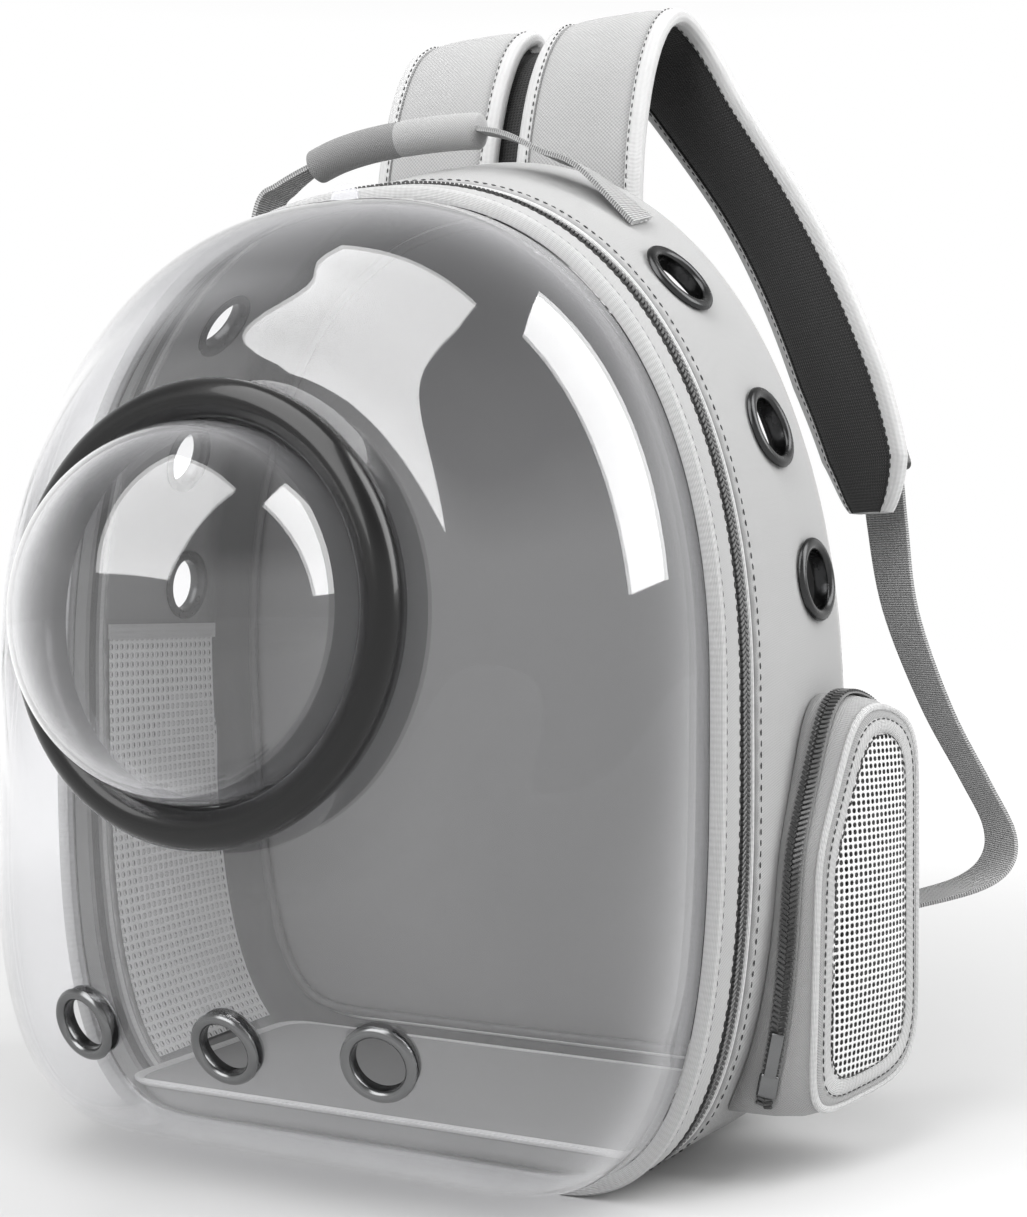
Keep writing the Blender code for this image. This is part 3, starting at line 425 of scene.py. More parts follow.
gusset_cloth = woven("gusset_cloth", 0.31, THREAD_PITCH)
frame_cloth = woven("frame_cloth", 0.33, THREAD_PITCH)
pocket_cloth = woven("pocket_cloth", 0.30, THREAD_PITCH)
strap_cloth = woven("strap_cloth", 0.31, 0.0018, contrast=0.26)
cabin_cloth = woven("cabin_cloth", 0.105, 0.0007, 0.00002, contrast=0.05, sheen=0.1, plan=(0, 2))
mat_cloth = woven("mat_cloth", 0.17, 0.0007, 0.00003, contrast=0.05, sheen=0.1, plan=(0, 1))


BACK_FOLD_SHADE = (0.074, 0.096)


def cabin_lining():
    """The gusset's inside: pale near the clear front, and darkened by painted shade in the fold at
    the back.
    """
    cloth = Finish("lining_cloth", Roughness=0.9)
    across, along = cloth.cloth_lengths()
    threads = plain_weave(across, along, THREAD_PITCH)
    share = threads * 0.5 + cloth.cloud(BLOTCH_SCALE) * 0.5
    pale = cloth.shade(grey(0.20), grey(0.235), share)
    # Painted shade: the lining turns dark towards the back, where the fold lies in shadow.
    cloth.give(Base_Color=cloth.shade(pale, grey(0.035), along.step(*BACK_FOLD_SHADE)))
    cloth.bump(threads, 0.00003)
    return cloth.material


lining_cloth = cabin_lining()
print("woven cloths made")


# %% [markdown]
# ## Ribbed tapes, netting and thread
# Binding tape and webbing are woven in ribs, so one wave runs across them and a finer one
# along. Netting is cloth with real holes: where two waves peak together, the alpha is 0.
# Light falls through it, so the dark cabin shows behind the white threads.


# %% Tapes
LINE_PITCH = 0.0024


def ribbed(name, level, rib, depth=0.0003, contrast=0.18):
    tape = Finish(name, Roughness=0.8, Sheen_Weight=0.2)
    across, along = tape.cloth_lengths()
    ribs = along.wave(rib).size()
    lines = across.wave(LINE_PITCH) * 0.5 + 0.5
    share = ribs * 0.6 + lines * 0.2 + tape.cloud(60.0) * 0.2
    tape.give(Base_Color=tape.mottle(level, contrast, share))
    tape.bump(ribs + lines * 0.5, depth)
    return tape.material


def netting(name, level, pitch, opening):
    net = Finish(name, Roughness=0.7, Sheen_Weight=0.3)
    across, along = net.cloth_lengths()
    cells = (across.wave(pitch) * 0.5 + 0.5) * (along.wave(pitch) * 0.5 + 0.5)
    hole = cells.step(opening - 0.06, opening + 0.06)
    colour = net.shade(grey(level), grey(level * 0.6), cells.step(0.1, opening))
    net.give(Alpha=1 - hole, Base_Color=colour)
    net.bump(1 - cells, 0.0004)
    return net.material


def knitted(name, level, pitch):
    """A closed spacer knit: the same cells as netting, but dimpled and not open."""
    knit = Finish(name, Roughness=0.9, Sheen_Weight=0.1)
    across, along = knit.cloth_lengths()
    cells = across.wave(pitch) * along.wave(pitch)
    dimple = cells.size().step(0.35, 0.8)
    knit.give(Base_Color=knit.shade(grey(level), grey(level * 0.25), dimple))
    knit.bump(1 - dimple, 0.0006)
    return knit.material


binding_tape = ribbed("binding_tape", 0.56, 0.0012)
frame_tape = ribbed("frame_tape", 0.48, 0.0012)
zip_tape = ribbed("zip_tape", 0.24, 0.0010, contrast=0.12)
webbing_tape = ribbed("webbing_tape", 0.34, 0.0022, depth=0.0008, contrast=0.38)
white_net = netting("white_net", 0.62, 0.0028, 0.24)
window_net = netting("window_net", 0.72, 0.0042, 0.40)
strap_lining = knitted("strap_lining", 0.016, 0.0032)
print("tapes and nets made")


# %% [markdown]
# ## Hard finishes
# Black moulded plastic has a clear gloss over a dark body. The eyelets are plated, with a
# roughness that wanders a little, so their highlights are not perfect.


# %% Hard finishes
def plastic(name, level, roughness, coat=0.0, shine=0.5):
    hard = Finish(name, Base_Color=grey(level), Coat_Weight=coat, Coat_Roughness=0.05)
    hard.give(Specular_IOR_Level=shine)
    hard.give(Roughness=hard.cloud(120.0) * 0.06 + (roughness - 0.03))
    hard.bump(hard.cloud(260.0), 0.00004)
    return hard.material


def plated(name, level, roughness):
    metal = Finish(name, Metallic=1.0, Base_Color=grey(level, 0.01))
    metal.give(Roughness=metal.cloud(300.0) * 0.12 + (roughness - 0.06))
    return metal.material


ring_black = plastic("ring_black", 0.004, 0.24, coat=0.25, shine=0.25)
buckle_black = plastic("buckle_black", 0.012, 0.38)
teeth_nylon = plastic("teeth_nylon", 0.05, 0.32, coat=0.2)
# This dark thread is partly painted shade: it is the stitches' colour, and it also stands for the
# shadow lines along seams and edges.
thread_and_seam_shade = plastic("thread_and_seam_shade", 0.03, 0.7)
pale_thread = plastic("pale_thread", 0.62, 0.7)
dark_piping = plastic("dark_piping", 0.035, 0.55)
eyelet_dark = plated("eyelet_dark", 0.045, 0.26)
eyelet_grey = plated("eyelet_grey", 0.16, 0.24)
print("hard finishes made")


# %% [markdown]
# ## Clear mouldings
# The shell and the dome are clear sheets, seen through twice. A refracting material would
# leave the cabin dark, because lamps don't shine through it. So most of the light goes
# straight through a Transparent shader, and a pale body is mixed in by how steeply the
# surface is seen: a little in the middle, and most of it at the edges. The gloss follows
# the usual fifth-power rule from the Facing value, which is the same on both sides of a wall. The
# Fresnel node isn't: inside a wall it turns into a full mirror, and hides the cabin.


# %% Clear finishes
def clear(name, body, edge, gloss):
    sheet = Finish(name, Roughness=0.35, Base_Color=(0.90, 0.90, 0.93))
    through = sheet.node("ShaderNodeBsdfTransparent", inputs={"Color": (0.985, 0.985, 0.99)})
    mirror_look = {"Color": grey(1.0), "Roughness": 0.02}
    mirror = sheet.node("ShaderNodeBsdfGlossy", inputs=mirror_look)
    steep = sheet.node("ShaderNodeLayerWeight", inputs={"Blend": 0.5}, output="Facing")
    pale = Wire(sheet, sheet.shader.outputs[0])
    haze = steep ** 4.0 * edge + body
    hazy = sheet.node("ShaderNodeMixShader", inputs={0: haze, 1: through, 2: pale})
    shine = (steep ** 5.0 * 0.9 + 0.035) * gloss
    both = sheet.node("ShaderNodeMixShader", inputs={0: shine, 1: hazy, 2: mirror})
    sheet.feed(sheet.nodes["Material Output"].inputs["Surface"], both)
    return sheet.material


clear_sheet = clear("clear_sheet", 0.010, 0.45, 1.8)
clear_dome = clear("clear_dome", 0.006, 0.40, 1.7)
print("clear finishes made")

# %% [markdown]
# ## Where things lie on the pack's side
# Vents, pockets and straps meet the side wall, so its place and direction are needed at any
# height and depth share.


# %% Points on the side wall
def side_point(z, share):
    """The point on the right side wall at a height and a depth share."""
    right = outline(share)[: AROUND // 2 + 1]
    for first, second in zip(right, right[1:]):
        if first.z <= z <= second.z and second.z > first.z:
            x = mix(first.x, second.x, (z - first.z) / (second.z - first.z))
            return Vector((x, depth_y(share, z), z))
    return Vector((right[-1].x, depth_y(share, z), z))


def skin_at(z, share, side=1):
    """A point on the side wall and the direction out of it."""
    small = 0.02
    rise = small * BACK_HEIGHT
    up = side_point(z + rise, share) - side_point(z - rise, share)
    behind = side_point(z, share + small) - side_point(z, share - small)
    out = behind.cross(up).normalized()
    return mirrored(side_point(z, share), side), mirrored(out, side)


def facing(point, out):
    """A placement whose own +Z looks along a direction."""
    return Matrix.Translation(point) @ out.to_track_quat("Z", "Y").to_matrix().to_4x4()


def back_drop(share):
    """How far the rounded back edge falls in at a depth share."""
    turn = min(1.0, max(0.0, (share - EDGE_SHARE) / (1 - EDGE_SHARE)))
    return -EDGE_ROUND * (1 - math.sqrt(max(0.0, 1 - turn * turn)))


# %% [markdown]
# ## Openings in a skin
# A vent or a window is cut by deleting the faces inside it. The torn edge is then drawn onto
# the true circle or outline, which makes it clean without any boolean.


# %% Cut a round vent
def open_vent(bm, place_of, radius):
    """Open a round hole about a placement's own +Z."""
    to_hole = place_of.inverted()
    reach = 0.02

    def apart(co):
        local = to_hole @ co
        return math.hypot(local.x, local.y) if abs(local.z) < reach else 1.0

    inside = [face for face in bm.faces if apart(face.calc_center_median()) < radius]
    bmesh.ops.delete(bm, geom=inside, context="FACES")
    for vert in bm.verts:
        distance = apart(vert.co)
        if vert.is_boundary and distance < 1.6 * radius:
            local = to_hole @ vert.co
            local.x *= radius / distance
            local.y *= radius / distance
            vert.co = place_of @ local


# %% Cut a window by an outline in the side wall
def inside_loop(y, z, loop):
    """Whether a point of the side wall lies inside a closed (y, z) outline."""
    within = False
    for (y0, z0), (y1, z1) in zip(loop, loop[1:] + loop[:1]):
        if (z0 > z) != (z1 > z) and y < y0 + (z - z0) * (y1 - y0) / (z1 - z0):
            within = not within
    return within


def open_window(bm, side, loop):
    reach = 0.6 * BACK_HALF_WIDTH
    inside = []
    for face in bm.faces:
        middle = face.calc_center_median()
        if middle.x * side > reach and inside_loop(middle.y, middle.z, loop):
            inside.append(face)
    bmesh.ops.delete(bm, geom=inside, context="FACES")
    for vert in bm.verts:
        if vert.is_boundary and vert.co.x * side > reach:
            near = min(loop, key=lambda p: (p[0] - vert.co.y) ** 2 + (p[1] - vert.co.z) ** 2)
            if math.hypot(near[0] - vert.co.y, near[1] - vert.co.z) < 0.006:
                vert.co.y, vert.co.z = near


# %% [markdown]
# ## The pocket's outline
# The side pocket leans like the photograph's: low at the front, high at the back, with round
# corners. Five corners with their radii give it. The netting window behind it follows the
# same outline, moved in.

# %% Pocket outline
POCKET_FRONT_SHARE = 0.32
POCKET_BACK_SHARE = 0.92
POCKET_LOW_SHARE = 0.055
POCKET_HIGH_SHARE = 0.455
POCKET_FRONT_PROUD = 0.009
POCKET_BACK_PROUD = 0.036
POCKET_CORNERS = (
    (0.00, 0.00, 0.10),
    (1.00, 0.05, 0.32),
    (1.00, 0.93, 0.26),
    (0.42, 1.00, 0.26),
    (0.05, 0.62, 0.24),
)
POCKET_AROUND = 200
POCKET_EASING = 36
CORNER_STEPS = 12
LEAST_CORNER = 0.006
EASING_LOSS = 0.0012


def moved_in(points, distance):
    """The corners of a closed outline, each side moved in by a distance."""
    moved = []
    for index, point in enumerate(points):
        before = (point - points[index - 1]).normalized()
        after = (points[(index + 1) % len(points)] - point).normalized()
        square = Vector((-before.y, before.x))
        inward = (square + Vector((-after.y, after.x))).normalized()
        moved.append(point + inward * distance / max(0.5, inward.dot(square)))
    return moved


def pocket_outline(inset):
    """The pocket's outline as (y, z) pairs, moved in by a distance."""
    low = POCKET_LOW_SHARE * BACK_HEIGHT
    high = POCKET_HIGH_SHARE * BACK_HEIGHT
    front = depth_y(POCKET_FRONT_SHARE, low)
    width = depth_y(POCKET_BACK_SHARE, high) - front
    corners = [Vector((front + a * width, mix(low, high, u))) for a, u, _ in POCKET_CORNERS]
    corners = moved_in(corners, inset - EASING_LOSS)
    points = []
    for index, corner in enumerate(corners):
        radius = max(LEAST_CORNER, POCKET_CORNERS[index][2] * width - 0.3 * inset)
        before = (corners[index - 1] - corner).normalized()
        after = (corners[(index + 1) % len(corners)] - corner).normalized()
        reach = radius / math.tan(0.5 * before.angle(after))
        start = corner + before * reach
        end = corner + after * reach
        for step in range(CORNER_STEPS + 1):
            share = step / CORNER_STEPS
            points.append(start.lerp(corner, share).lerp(corner.lerp(end, share), share))
    count = POCKET_AROUND
    even = even_points([Vector((p.x, p.y, 0.0)) for p in points], count)
    for _ in range(POCKET_EASING):
        after = even[1:] + even[:1]
        even = [even[i - 1] * 0.25 + even[i] * 0.5 + after[i] * 0.25 for i in range(count)]
    return [(p.x, p.y) for p in even]


def extent(loop, axis):
    """How far an outline reaches along one of its two axes."""
    values = [point[axis] for point in loop]
    return max(values) - min(values)


WINDOW_INSET = 0.0085
window_loop = pocket_outline(WINDOW_INSET)
print("window is", round(extent(window_loop, 0), 3), "m deep")

# %% [markdown]
# ## The side gusset
# One long wall of cloth runs round the pack and rolls over at the back. Sewn cloth is never
# quite smooth: it puckers along its seams, and wanders a little between them.

# %% Gusset
GAP = 0.0003
FRAME_SHARE = 0.018 / BASE_DEPTH
ZIP_START = FRAME_SHARE + GAP / TOP_DEPTH
ZIP_END = ZIP_START + 0.011 / BASE_DEPTH
PIPING_RADIUS = 0.0015
PIPING_SHARE = ZIP_END + (PIPING_RADIUS + GAP) / TOP_DEPTH
GUSSET_START = PIPING_SHARE + (PIPING_RADIUS + GAP) / TOP_DEPTH
SIDE_VENTS = (("upper", 0.842, 0.50), ("middle", 0.700, 0.60), ("lower", 0.556, 0.70))
SIDE_EYELET_RADIUS = 0.0172
EYELET_BORE_SHARE = 0.70
VENT_CLEARANCE = 0.0015
PUCKER = 0.0004
PUCKER_PITCHES = 92
PUCKER_FADE = 0.009
WANDER = 0.0007
WANDER_FADE = 0.02
GUSSET_STEPS = 34
EDGE_STEPS = 10


def gusset_rise(share):
    """How far the cloth stands off its plain form, at each share of the way round."""
    to_front = (share - GUSSET_START) * BASE_DEPTH
    near_seam = math.exp(-max(0.0, to_front) / PUCKER_FADE)

    def rise(turn):
        angle = 2 * math.pi * turn
        ripple = PUCKER * near_seam * math.sin(PUCKER_PITCHES * angle)
        spot = Vector((math.cos(angle), math.sin(angle), share * 0.8)) * 4.5
        return ripple + WANDER * noise.noise(spot) * min(1.0, to_front / WANDER_FADE)

    return rise


def side_vents(side):
    """Each vent's level, and its placement on one side wall."""
    found = []
    for level, height_share, depth_share in SIDE_VENTS:
        found.append((level, facing(*skin_at(height_share * BACK_HEIGHT, depth_share, side))))
    return found


rows = []
for step in range(GUSSET_STEPS):
    share = mix(GUSSET_START, EDGE_SHARE, step / GUSSET_STEPS)
    rows.append(ring_at(share, gusset_rise(share)))
for step in range(EDGE_STEPS + 1):
    share = mix(EDGE_SHARE, 1.0, math.sin(0.5 * math.pi * step / EDGE_STEPS))
    rows.append(ring_at(share, back_drop(share)))
rows += [ring_at(1.0, -EDGE_ROUND - fold * WALL) for fold in (0.6, 1.0)]
bm = skin(rows)
face_out(bm, Vector((0.0, 0.0, 0.2)))
for side, _ in SIDES:
    for _, vent in side_vents(side):
        open_vent(bm, vent, EYELET_BORE_SHARE * SIDE_EYELET_RADIUS + VENT_CLEARANCE)
    open_window(bm, side, window_loop)
finishes = [gusset_cloth, lining_cloth]
gusset = place("gusset_wall", bm, finishes, instead_of=["side_gusset"], slot="gusset_cloth")
wall(gusset, WALL, inner_finish=1)

# %% [markdown]
# ## Hoops of trim
# The front frame, its binding, the zip tape and the pipings are hoops too. Each is a closed
# profile of depth share and distance out, carried round the pack. Closed pieces need no test
# of which way they face: their normals are worked out from their own volume.


# %% Closed forms from rings
def formed(name, rows, finishes, closed=False, zone=None, **options):
    """Skin rows into a closed piece that faces out, and place it."""
    bm = skin(rows, caps=not closed, closed=closed, zone=zone)
    bmesh.ops.recalc_face_normals(bm, faces=bm.faces)
    return place(name, bm, finishes, **options)


def circle(sides):
    """The cosine and sine of even turns."""
    turns = [2 * math.pi * step / sides for step in range(sides)]
    return [(math.cos(turn), math.sin(turn)) for turn in turns]


def trim(name, profile, finish, **options):
    """A hoop of trim from its profile of (depth share, distance out) pairs."""
    rows = [ring_at(share, out) for share, out in profile]
    formed(name, rows, [finish], closed=True, **options)


def round_profile(share, out, radius, sides=10):
    return [(share + radius * u / BASE_DEPTH, out + radius * v) for u, v in circle(sides)]


# %% Front frame, binding and pipings
frame_profile = (
    (0.010, 0.0), (0.060, 0.0003), (FRAME_SHARE - 0.006, 0.0002), (FRAME_SHARE, -0.0006),
    (FRAME_SHARE, -WALL), (0.010, -WALL),
)
trim("frame_band", frame_profile, frame_cloth, instead_of=["front_frame"], slot="frame_cloth")
binding_profile = (
    (0.019, 0.0002), (0.018, 0.0008), (0.010, 0.0010), (0.001, 0.0003), (-0.002, -0.0012),
    (-0.002, -0.0036), (0.004, -0.0050), (0.024, -0.0054), (0.0267, -0.0042), (0.0267, -0.0030),
)
trim("frame_binding", binding_profile, frame_tape, slot="frame_cloth")
front_piping = round_profile(PIPING_SHARE, -PIPING_RADIUS - GAP, PIPING_RADIUS)
trim("seam_piping", front_piping, binding_tape, instead_of=["gusset_piping"], slot="piping")
REAR_PIPING_RADIUS = 0.0018
rear_piping = round_profile(0.985, back_drop(0.97) + 0.0005, REAR_PIPING_RADIUS)
trim("rear_piping", rear_piping, frame_tape, slot="piping")

# %% [markdown]
# ## Walking along a line
# Teeth and stitches are small shapes set at even steps along a line. Each needs its place,
# the way along, and the way out of the cloth. A row of stitches is one piece, so it has one
# name, and so is a zip's row of teeth.


# %% Walks, stitches and blocks
def walk(points, outs, spacing, closed=False):
    """Even steps along a line, as (point, along, out)."""
    if closed:
        points = points + points[:1]
        outs = outs + outs[:1]
    found = []
    left = 0.5 * spacing
    for (first, second), out in zip(zip(points, points[1:]), outs):
        length = (second - first).length
        while left < length:
            found.append((first.lerp(second, left / length), (second - first).normalized(), out))
            left += spacing
        left -= length
    return found


def set_on(point, along, out, sizes):
    """A placement that turns X along a line and Z out of it, scaled by three sizes."""
    across = out.cross(along).normalized()
    out = along.cross(across)
    turn = Matrix((along, across, out)).transposed().to_4x4()
    return Matrix.Translation(point) @ turn @ Matrix.Diagonal((*sizes, 1.0))


def stitch(name, lines, thread, slot, spacing=0.0042, length=0.0028, thick=0.0007, closed=False):
    """Rows of stitches as one piece, along lines of (points, ways out)."""
    bm = bmesh.new()
    for points, outs in lines:
        for point, along, out in walk(points, outs, spacing, closed):
            matrix = set_on(point, along, out, (0.5 * length, 0.5 * thick, 0.5 * thick))
            bmesh.ops.create_icosphere(bm, subdivisions=1, radius=1.0, matrix=matrix)
    place(name, bm, [thread], slot=slot)


def round_edges(bm, edges, offset, segments):
    bmesh.ops.bevel(
        bm, geom=edges, offset=offset, affect="EDGES", segments=segments, profile=0.5, material=-1
    )


def add_block(bm, matrix, round_off):
    """A block with rounded edges."""
    cube = bmesh.ops.create_cube(bm, size=1.0, matrix=matrix)["verts"]
    round_edges(bm, list({edge for vert in cube for edge in vert.link_edges}), round_off, 3)


# %% Zip teeth and sliders
TEETH_PITCH = 0.0021
TEETH_SLANT = 0.55
SLIDER_PARTS = (
    (0.0, 0.0014, (0.0095, 0.0078, 0.0026), 0.0011),
    (0.0125, 0.0026, (0.0190, 0.0050, 0.0012), 0.0005),
)


def teeth(name, points, outs, width, height, closed=False):
    """Two rows of slanted teeth that close on each other, like a spine of arrows."""
    bm = bmesh.new()
    sizes = (0.62 * TEETH_PITCH, 0.56 * width, height)
    for number, (point, along, out) in enumerate(walk(points, outs, 0.5 * TEETH_PITCH, closed)):
        across = out.cross(along).normalized()
        hand = 1 if number % 2 else -1
        slanted = (along + across * (TEETH_SLANT * hand)).normalized()
        matrix = set_on(point + across * (0.25 * width * hand), slanted, out, sizes)
        bmesh.ops.create_cube(bm, size=1.0, matrix=matrix)
    round_edges(bm, bm.edges, 0.0002, 1)
    place(name, bm, [teeth_nylon], slot="zip_tape", sharp=30)


def slider(name, point, behind, out):
    """A zip slider and its pull tab, which points at the place behind it."""
    along = (behind - point).normalized()
    bm = bmesh.new()
    for shift, lift, sizes, round_off in SLIDER_PARTS:
        add_block(bm, set_on(point + along * shift + out * lift, along, out, sizes), round_off)
    place(name, bm, [eyelet_grey], slot="zip_tape")


def hoop_line(share, out):
    """The points of a hoop and the ways out of it."""
    base = outline(share)
    return ring_at(share, out), [outward(base, index) for index in range(AROUND)]


# %% [markdown]
# ## The door's zip
# A grey tape runs round the pack behind the frame, and its nylon teeth stand on it. They are
# small, but they draw the strongest line in the photograph, so each tooth is modelled.

# %% Door zip
ZIP_RECESS = 0.0016
zip_middle = 0.5 * (ZIP_START + ZIP_END)
tape_profile = (
    (ZIP_START, -ZIP_RECESS),
    (zip_middle - 0.018, -ZIP_RECESS + 0.0003),
    (zip_middle + 0.018, -ZIP_RECESS + 0.0003),
    (ZIP_END, -ZIP_RECESS),
    (ZIP_END, -WALL),
    (ZIP_START, -WALL),
)
trim("door_zip_tape", tape_profile, zip_tape, instead_of=["door_zip"], slot="zip_tape")
# The dark strip under the teeth is painted shade: it stands for the shadow in the gaps between the
# teeth.
SHADE_STRIP_WIDENING = 3.7
zip_shade_strip = round_profile(zip_middle, -0.0021, 0.0012, 12)
zip_shade_strip = [(zip_middle + SHADE_STRIP_WIDENING * (share - zip_middle), out) for share, out in zip_shade_strip]
trim("door_zip_shade_strip", zip_shade_strip, dark_piping, slot="zip_tape")
teeth("door_zip_teeth", *hoop_line(zip_middle, -0.0006), 0.0072, 0.0016, closed=True)
SLIDER_TURN = 0.86
line, outs = hoop_line(zip_middle, -0.0004)
index = round(SLIDER_TURN * AROUND)
slider("door_zip_slider", line[index], line[index + 1], outs[index])
# The frame's dark stitches are partly painted shade, for the shadow lines at its seams.
FRAME_SEAMS = ((0.024, 0.0004), (FRAME_SHARE - 0.010, 0.0004), (GUSSET_START + 0.022, 0.0003))
seams = [hoop_line(share, out) for share, out in FRAME_SEAMS]
stitch("frame_stitches", seams, thread_and_seam_shade, "frame_cloth", closed=True)

# %% [markdown]
# ## The clear shell
# The moulded front is a deep dome over the rim, flattened where the ring sits. Its section
# is a superellipse that is rounder at the top than at the base, worked out from the distance
# to the dome's middle. The three vents are opened as in the gusset.

# %% Clear shell form
SHELL_DEPTH = 0.102
SHELL_WALL = 0.0018
SHELL_POWERS = {"side": 2.3, "top": 2.15, "low": 3.0}
SHELL_TUCK = 0.003
BINDING_WIDTH = 0.005
DOME_Z = 0.221
DOME_SEAT_DEPTH = 0.094
DOME_TILT = math.radians(2.9)
RING_RADIUS = 0.0837
RING_BORE = 0.0686
RING_THICKNESS = 0.017
SEAT_RADIUS = RING_RADIUS + 0.003
SEAT_FADE = 1.5
HOLE_RADIUS = RING_BORE + 0.0034


def shell_power(angle):
    lift = math.sin(angle)
    end = SHELL_POWERS["top"] if lift > 0 else SHELL_POWERS["low"]
    return mix(SHELL_POWERS["side"], end, abs(lift))


def seat_y(z):
    """The tilted plane that the ring sits on."""
    return FRONT_Y - DOME_SEAT_DEPTH + (z - DOME_Z) * math.tan(DOME_TILT)


def shell_y(distance, reach, angle):
    power = shell_power(angle)
    bare = FRONT_Y - SHELL_DEPTH * (1 - min(1.0, distance / reach) ** power) ** (1 / power)
    flat = (SEAT_FADE * SEAT_RADIUS - distance) / ((SEAT_FADE - 1) * SEAT_RADIUS)
    flat = min(1.0, max(0.0, flat))
    flat = flat * flat * (3 - 2 * flat)
    return mix(bare, seat_y(DOME_Z + distance * math.sin(angle)), flat)


def polar(x, z):
    """The angle and distance about the dome's middle, seen from the front."""
    return math.atan2(z - DOME_Z, x), math.hypot(x, z - DOME_Z)


# %% Clear shell
SHELL_AROUND = 288
SHELL_STEPS = 34
base = outline(0.0, SHELL_AROUND)
edge = [p - outward(base, index) * (BINDING_WIDTH + GAP) for index, p in enumerate(base)]
rows = [[Vector((p.x, FRONT_Y + SHELL_TUCK, p.z)) for p in edge]]
for step in range(SHELL_STEPS + 1):
    spread = max(0.0, math.cos(0.5 * math.pi * step / SHELL_STEPS)) ** 0.9
    loop = []
    for point in edge:
        angle, reach = polar(point.x, point.z)
        distance = mix(SEAT_RADIUS, reach, spread if step < SHELL_STEPS else 0.0)
        height = DOME_Z + distance * math.sin(angle)
        loop.append(Vector((distance * math.cos(angle), shell_y(distance, reach, angle), height)))
    rows.append(loop)
hole = []
for point in edge:
    angle, _ = polar(point.x, point.z)
    height = DOME_Z + HOLE_RADIUS * math.sin(angle)
    hole.append(Vector((HOLE_RADIUS * math.cos(angle), seat_y(height), height)))
rows.append(hole)
bm = skin(rows)
face_out(bm, Vector((0.0, FRONT_Y, DOME_Z)))

# %% Vents in the shell
FRONT_VENTS = (("left", -0.415, 0.170), ("centre", 0.0, 0.165), ("right", 0.415, 0.170))
FRONT_EYELET_RADIUS = 0.0145
FRONT_CLEARANCE = 0.0013


def shell_place(side_share, height_share):
    """The placement of a front vent: the nearest point of the shell, facing out."""
    x = side_share * RIM_HALF_WIDTH
    z = height_share * RIM_HEIGHT
    angle, _ = polar(x, z)
    towards = Vector((math.cos(angle), 0.0, math.sin(angle)))
    nearest = max(edge, key=lambda p: (p - Vector((0, 0, DOME_Z))).normalized().dot(towards))
    _, reach = polar(nearest.x, nearest.z)

    def at(px, pz):
        angle, distance = polar(px, pz)
        return Vector((px, shell_y(distance, reach, angle), pz))

    small = 0.002
    out = (at(x + small, z) - at(x - small, z)).cross(at(x, z + small) - at(x, z - small))
    return facing(at(x, z), out.normalized())


front_hole = EYELET_BORE_SHARE * FRONT_EYELET_RADIUS + FRONT_CLEARANCE
for _, side_share, height_share in FRONT_VENTS:
    open_vent(bm, shell_place(side_share, height_share), front_hole)
options = {"instead_of": ["front_shell"], "slot": "clear_sheet", "sharp": 60}
wall(place("clear_shell", bm, [clear_sheet], **options), SHELL_WALL)
tab_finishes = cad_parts["shell_tab"].data.materials
tab_finishes.clear()
tab_finishes.append(clear("clear_tab", 0.25, 0.5, 1.0))

# %% [markdown]
# ## Turned pieces
# The ring, the dome and the eyelets are bodies of revolution. A short chain of vertices is
# spun a full turn, and merged where it closes.


# %% Spin a profile
def spun(profile, sides, closed=True):
    """A body of revolution about +Z from (radius, height) points."""
    bm = bmesh.new()
    verts = [bm.verts.new((radius, 0.0, height)) for radius, height in profile]
    pairs = list(zip(verts, verts[1:]))
    if closed:
        pairs.append((verts[-1], verts[0]))
    for first, second in pairs:
        bm.edges.new((first, second))
    bmesh.ops.spin(
        bm, geom=bm.verts[:] + bm.edges[:], cent=(0, 0, 0), axis=(0, 0, 1),
        angle=2 * math.pi, steps=sides, use_merge=True,
    )
    bmesh.ops.remove_doubles(bm, verts=bm.verts, dist=1e-6)
    bmesh.ops.recalc_face_normals(bm, faces=bm.faces)
    return bm


def arc(centre, radius, start, end, steps):
    """Points of an arc in a profile, with angles in degrees."""
    turns = [math.radians(mix(start, end, step / steps)) for step in range(steps + 1)]
    return [(centre[0] + radius * math.cos(t), centre[1] + radius * math.sin(t)) for t in turns]


dome_place = facing(
    Vector((0.0, FRONT_Y - DOME_SEAT_DEPTH, DOME_Z)),
    Vector((0.0, -math.cos(DOME_TILT), math.sin(DOME_TILT))),
)

# %% [markdown]
# ## The black ring and its dome
# The ring has a fat rounded rim with a groove inside it, where the dome's neck turns. The
# dome twists in the ring to unlock, so it rides on its own body. Its three lugs are not modelled.

# %% Ring
TURNED_SIDES = 144
half_width = 0.5 * (RING_RADIUS - RING_BORE)
ring_profile = [(RING_BORE, GAP), (RING_RADIUS - 0.0042, GAP), (RING_RADIUS - 0.0022, 0.0016)]
roll_centre = (RING_RADIUS - half_width, RING_THICKNESS - half_width)
ring_profile += arc(roll_centre, half_width, -25, 150, 18)
ring_profile.append((RING_BORE + 0.0006, RING_THICKNESS - 0.0052))
ring_profile.append((RING_BORE, RING_THICKNESS - 0.0062))
bm = spun(ring_profile, TURNED_SIDES)
bm.transform(dome_place)
place("ring_moulding", bm, [ring_black], instead_of=["dome_ring"], slot="black_ring", sharp=50)

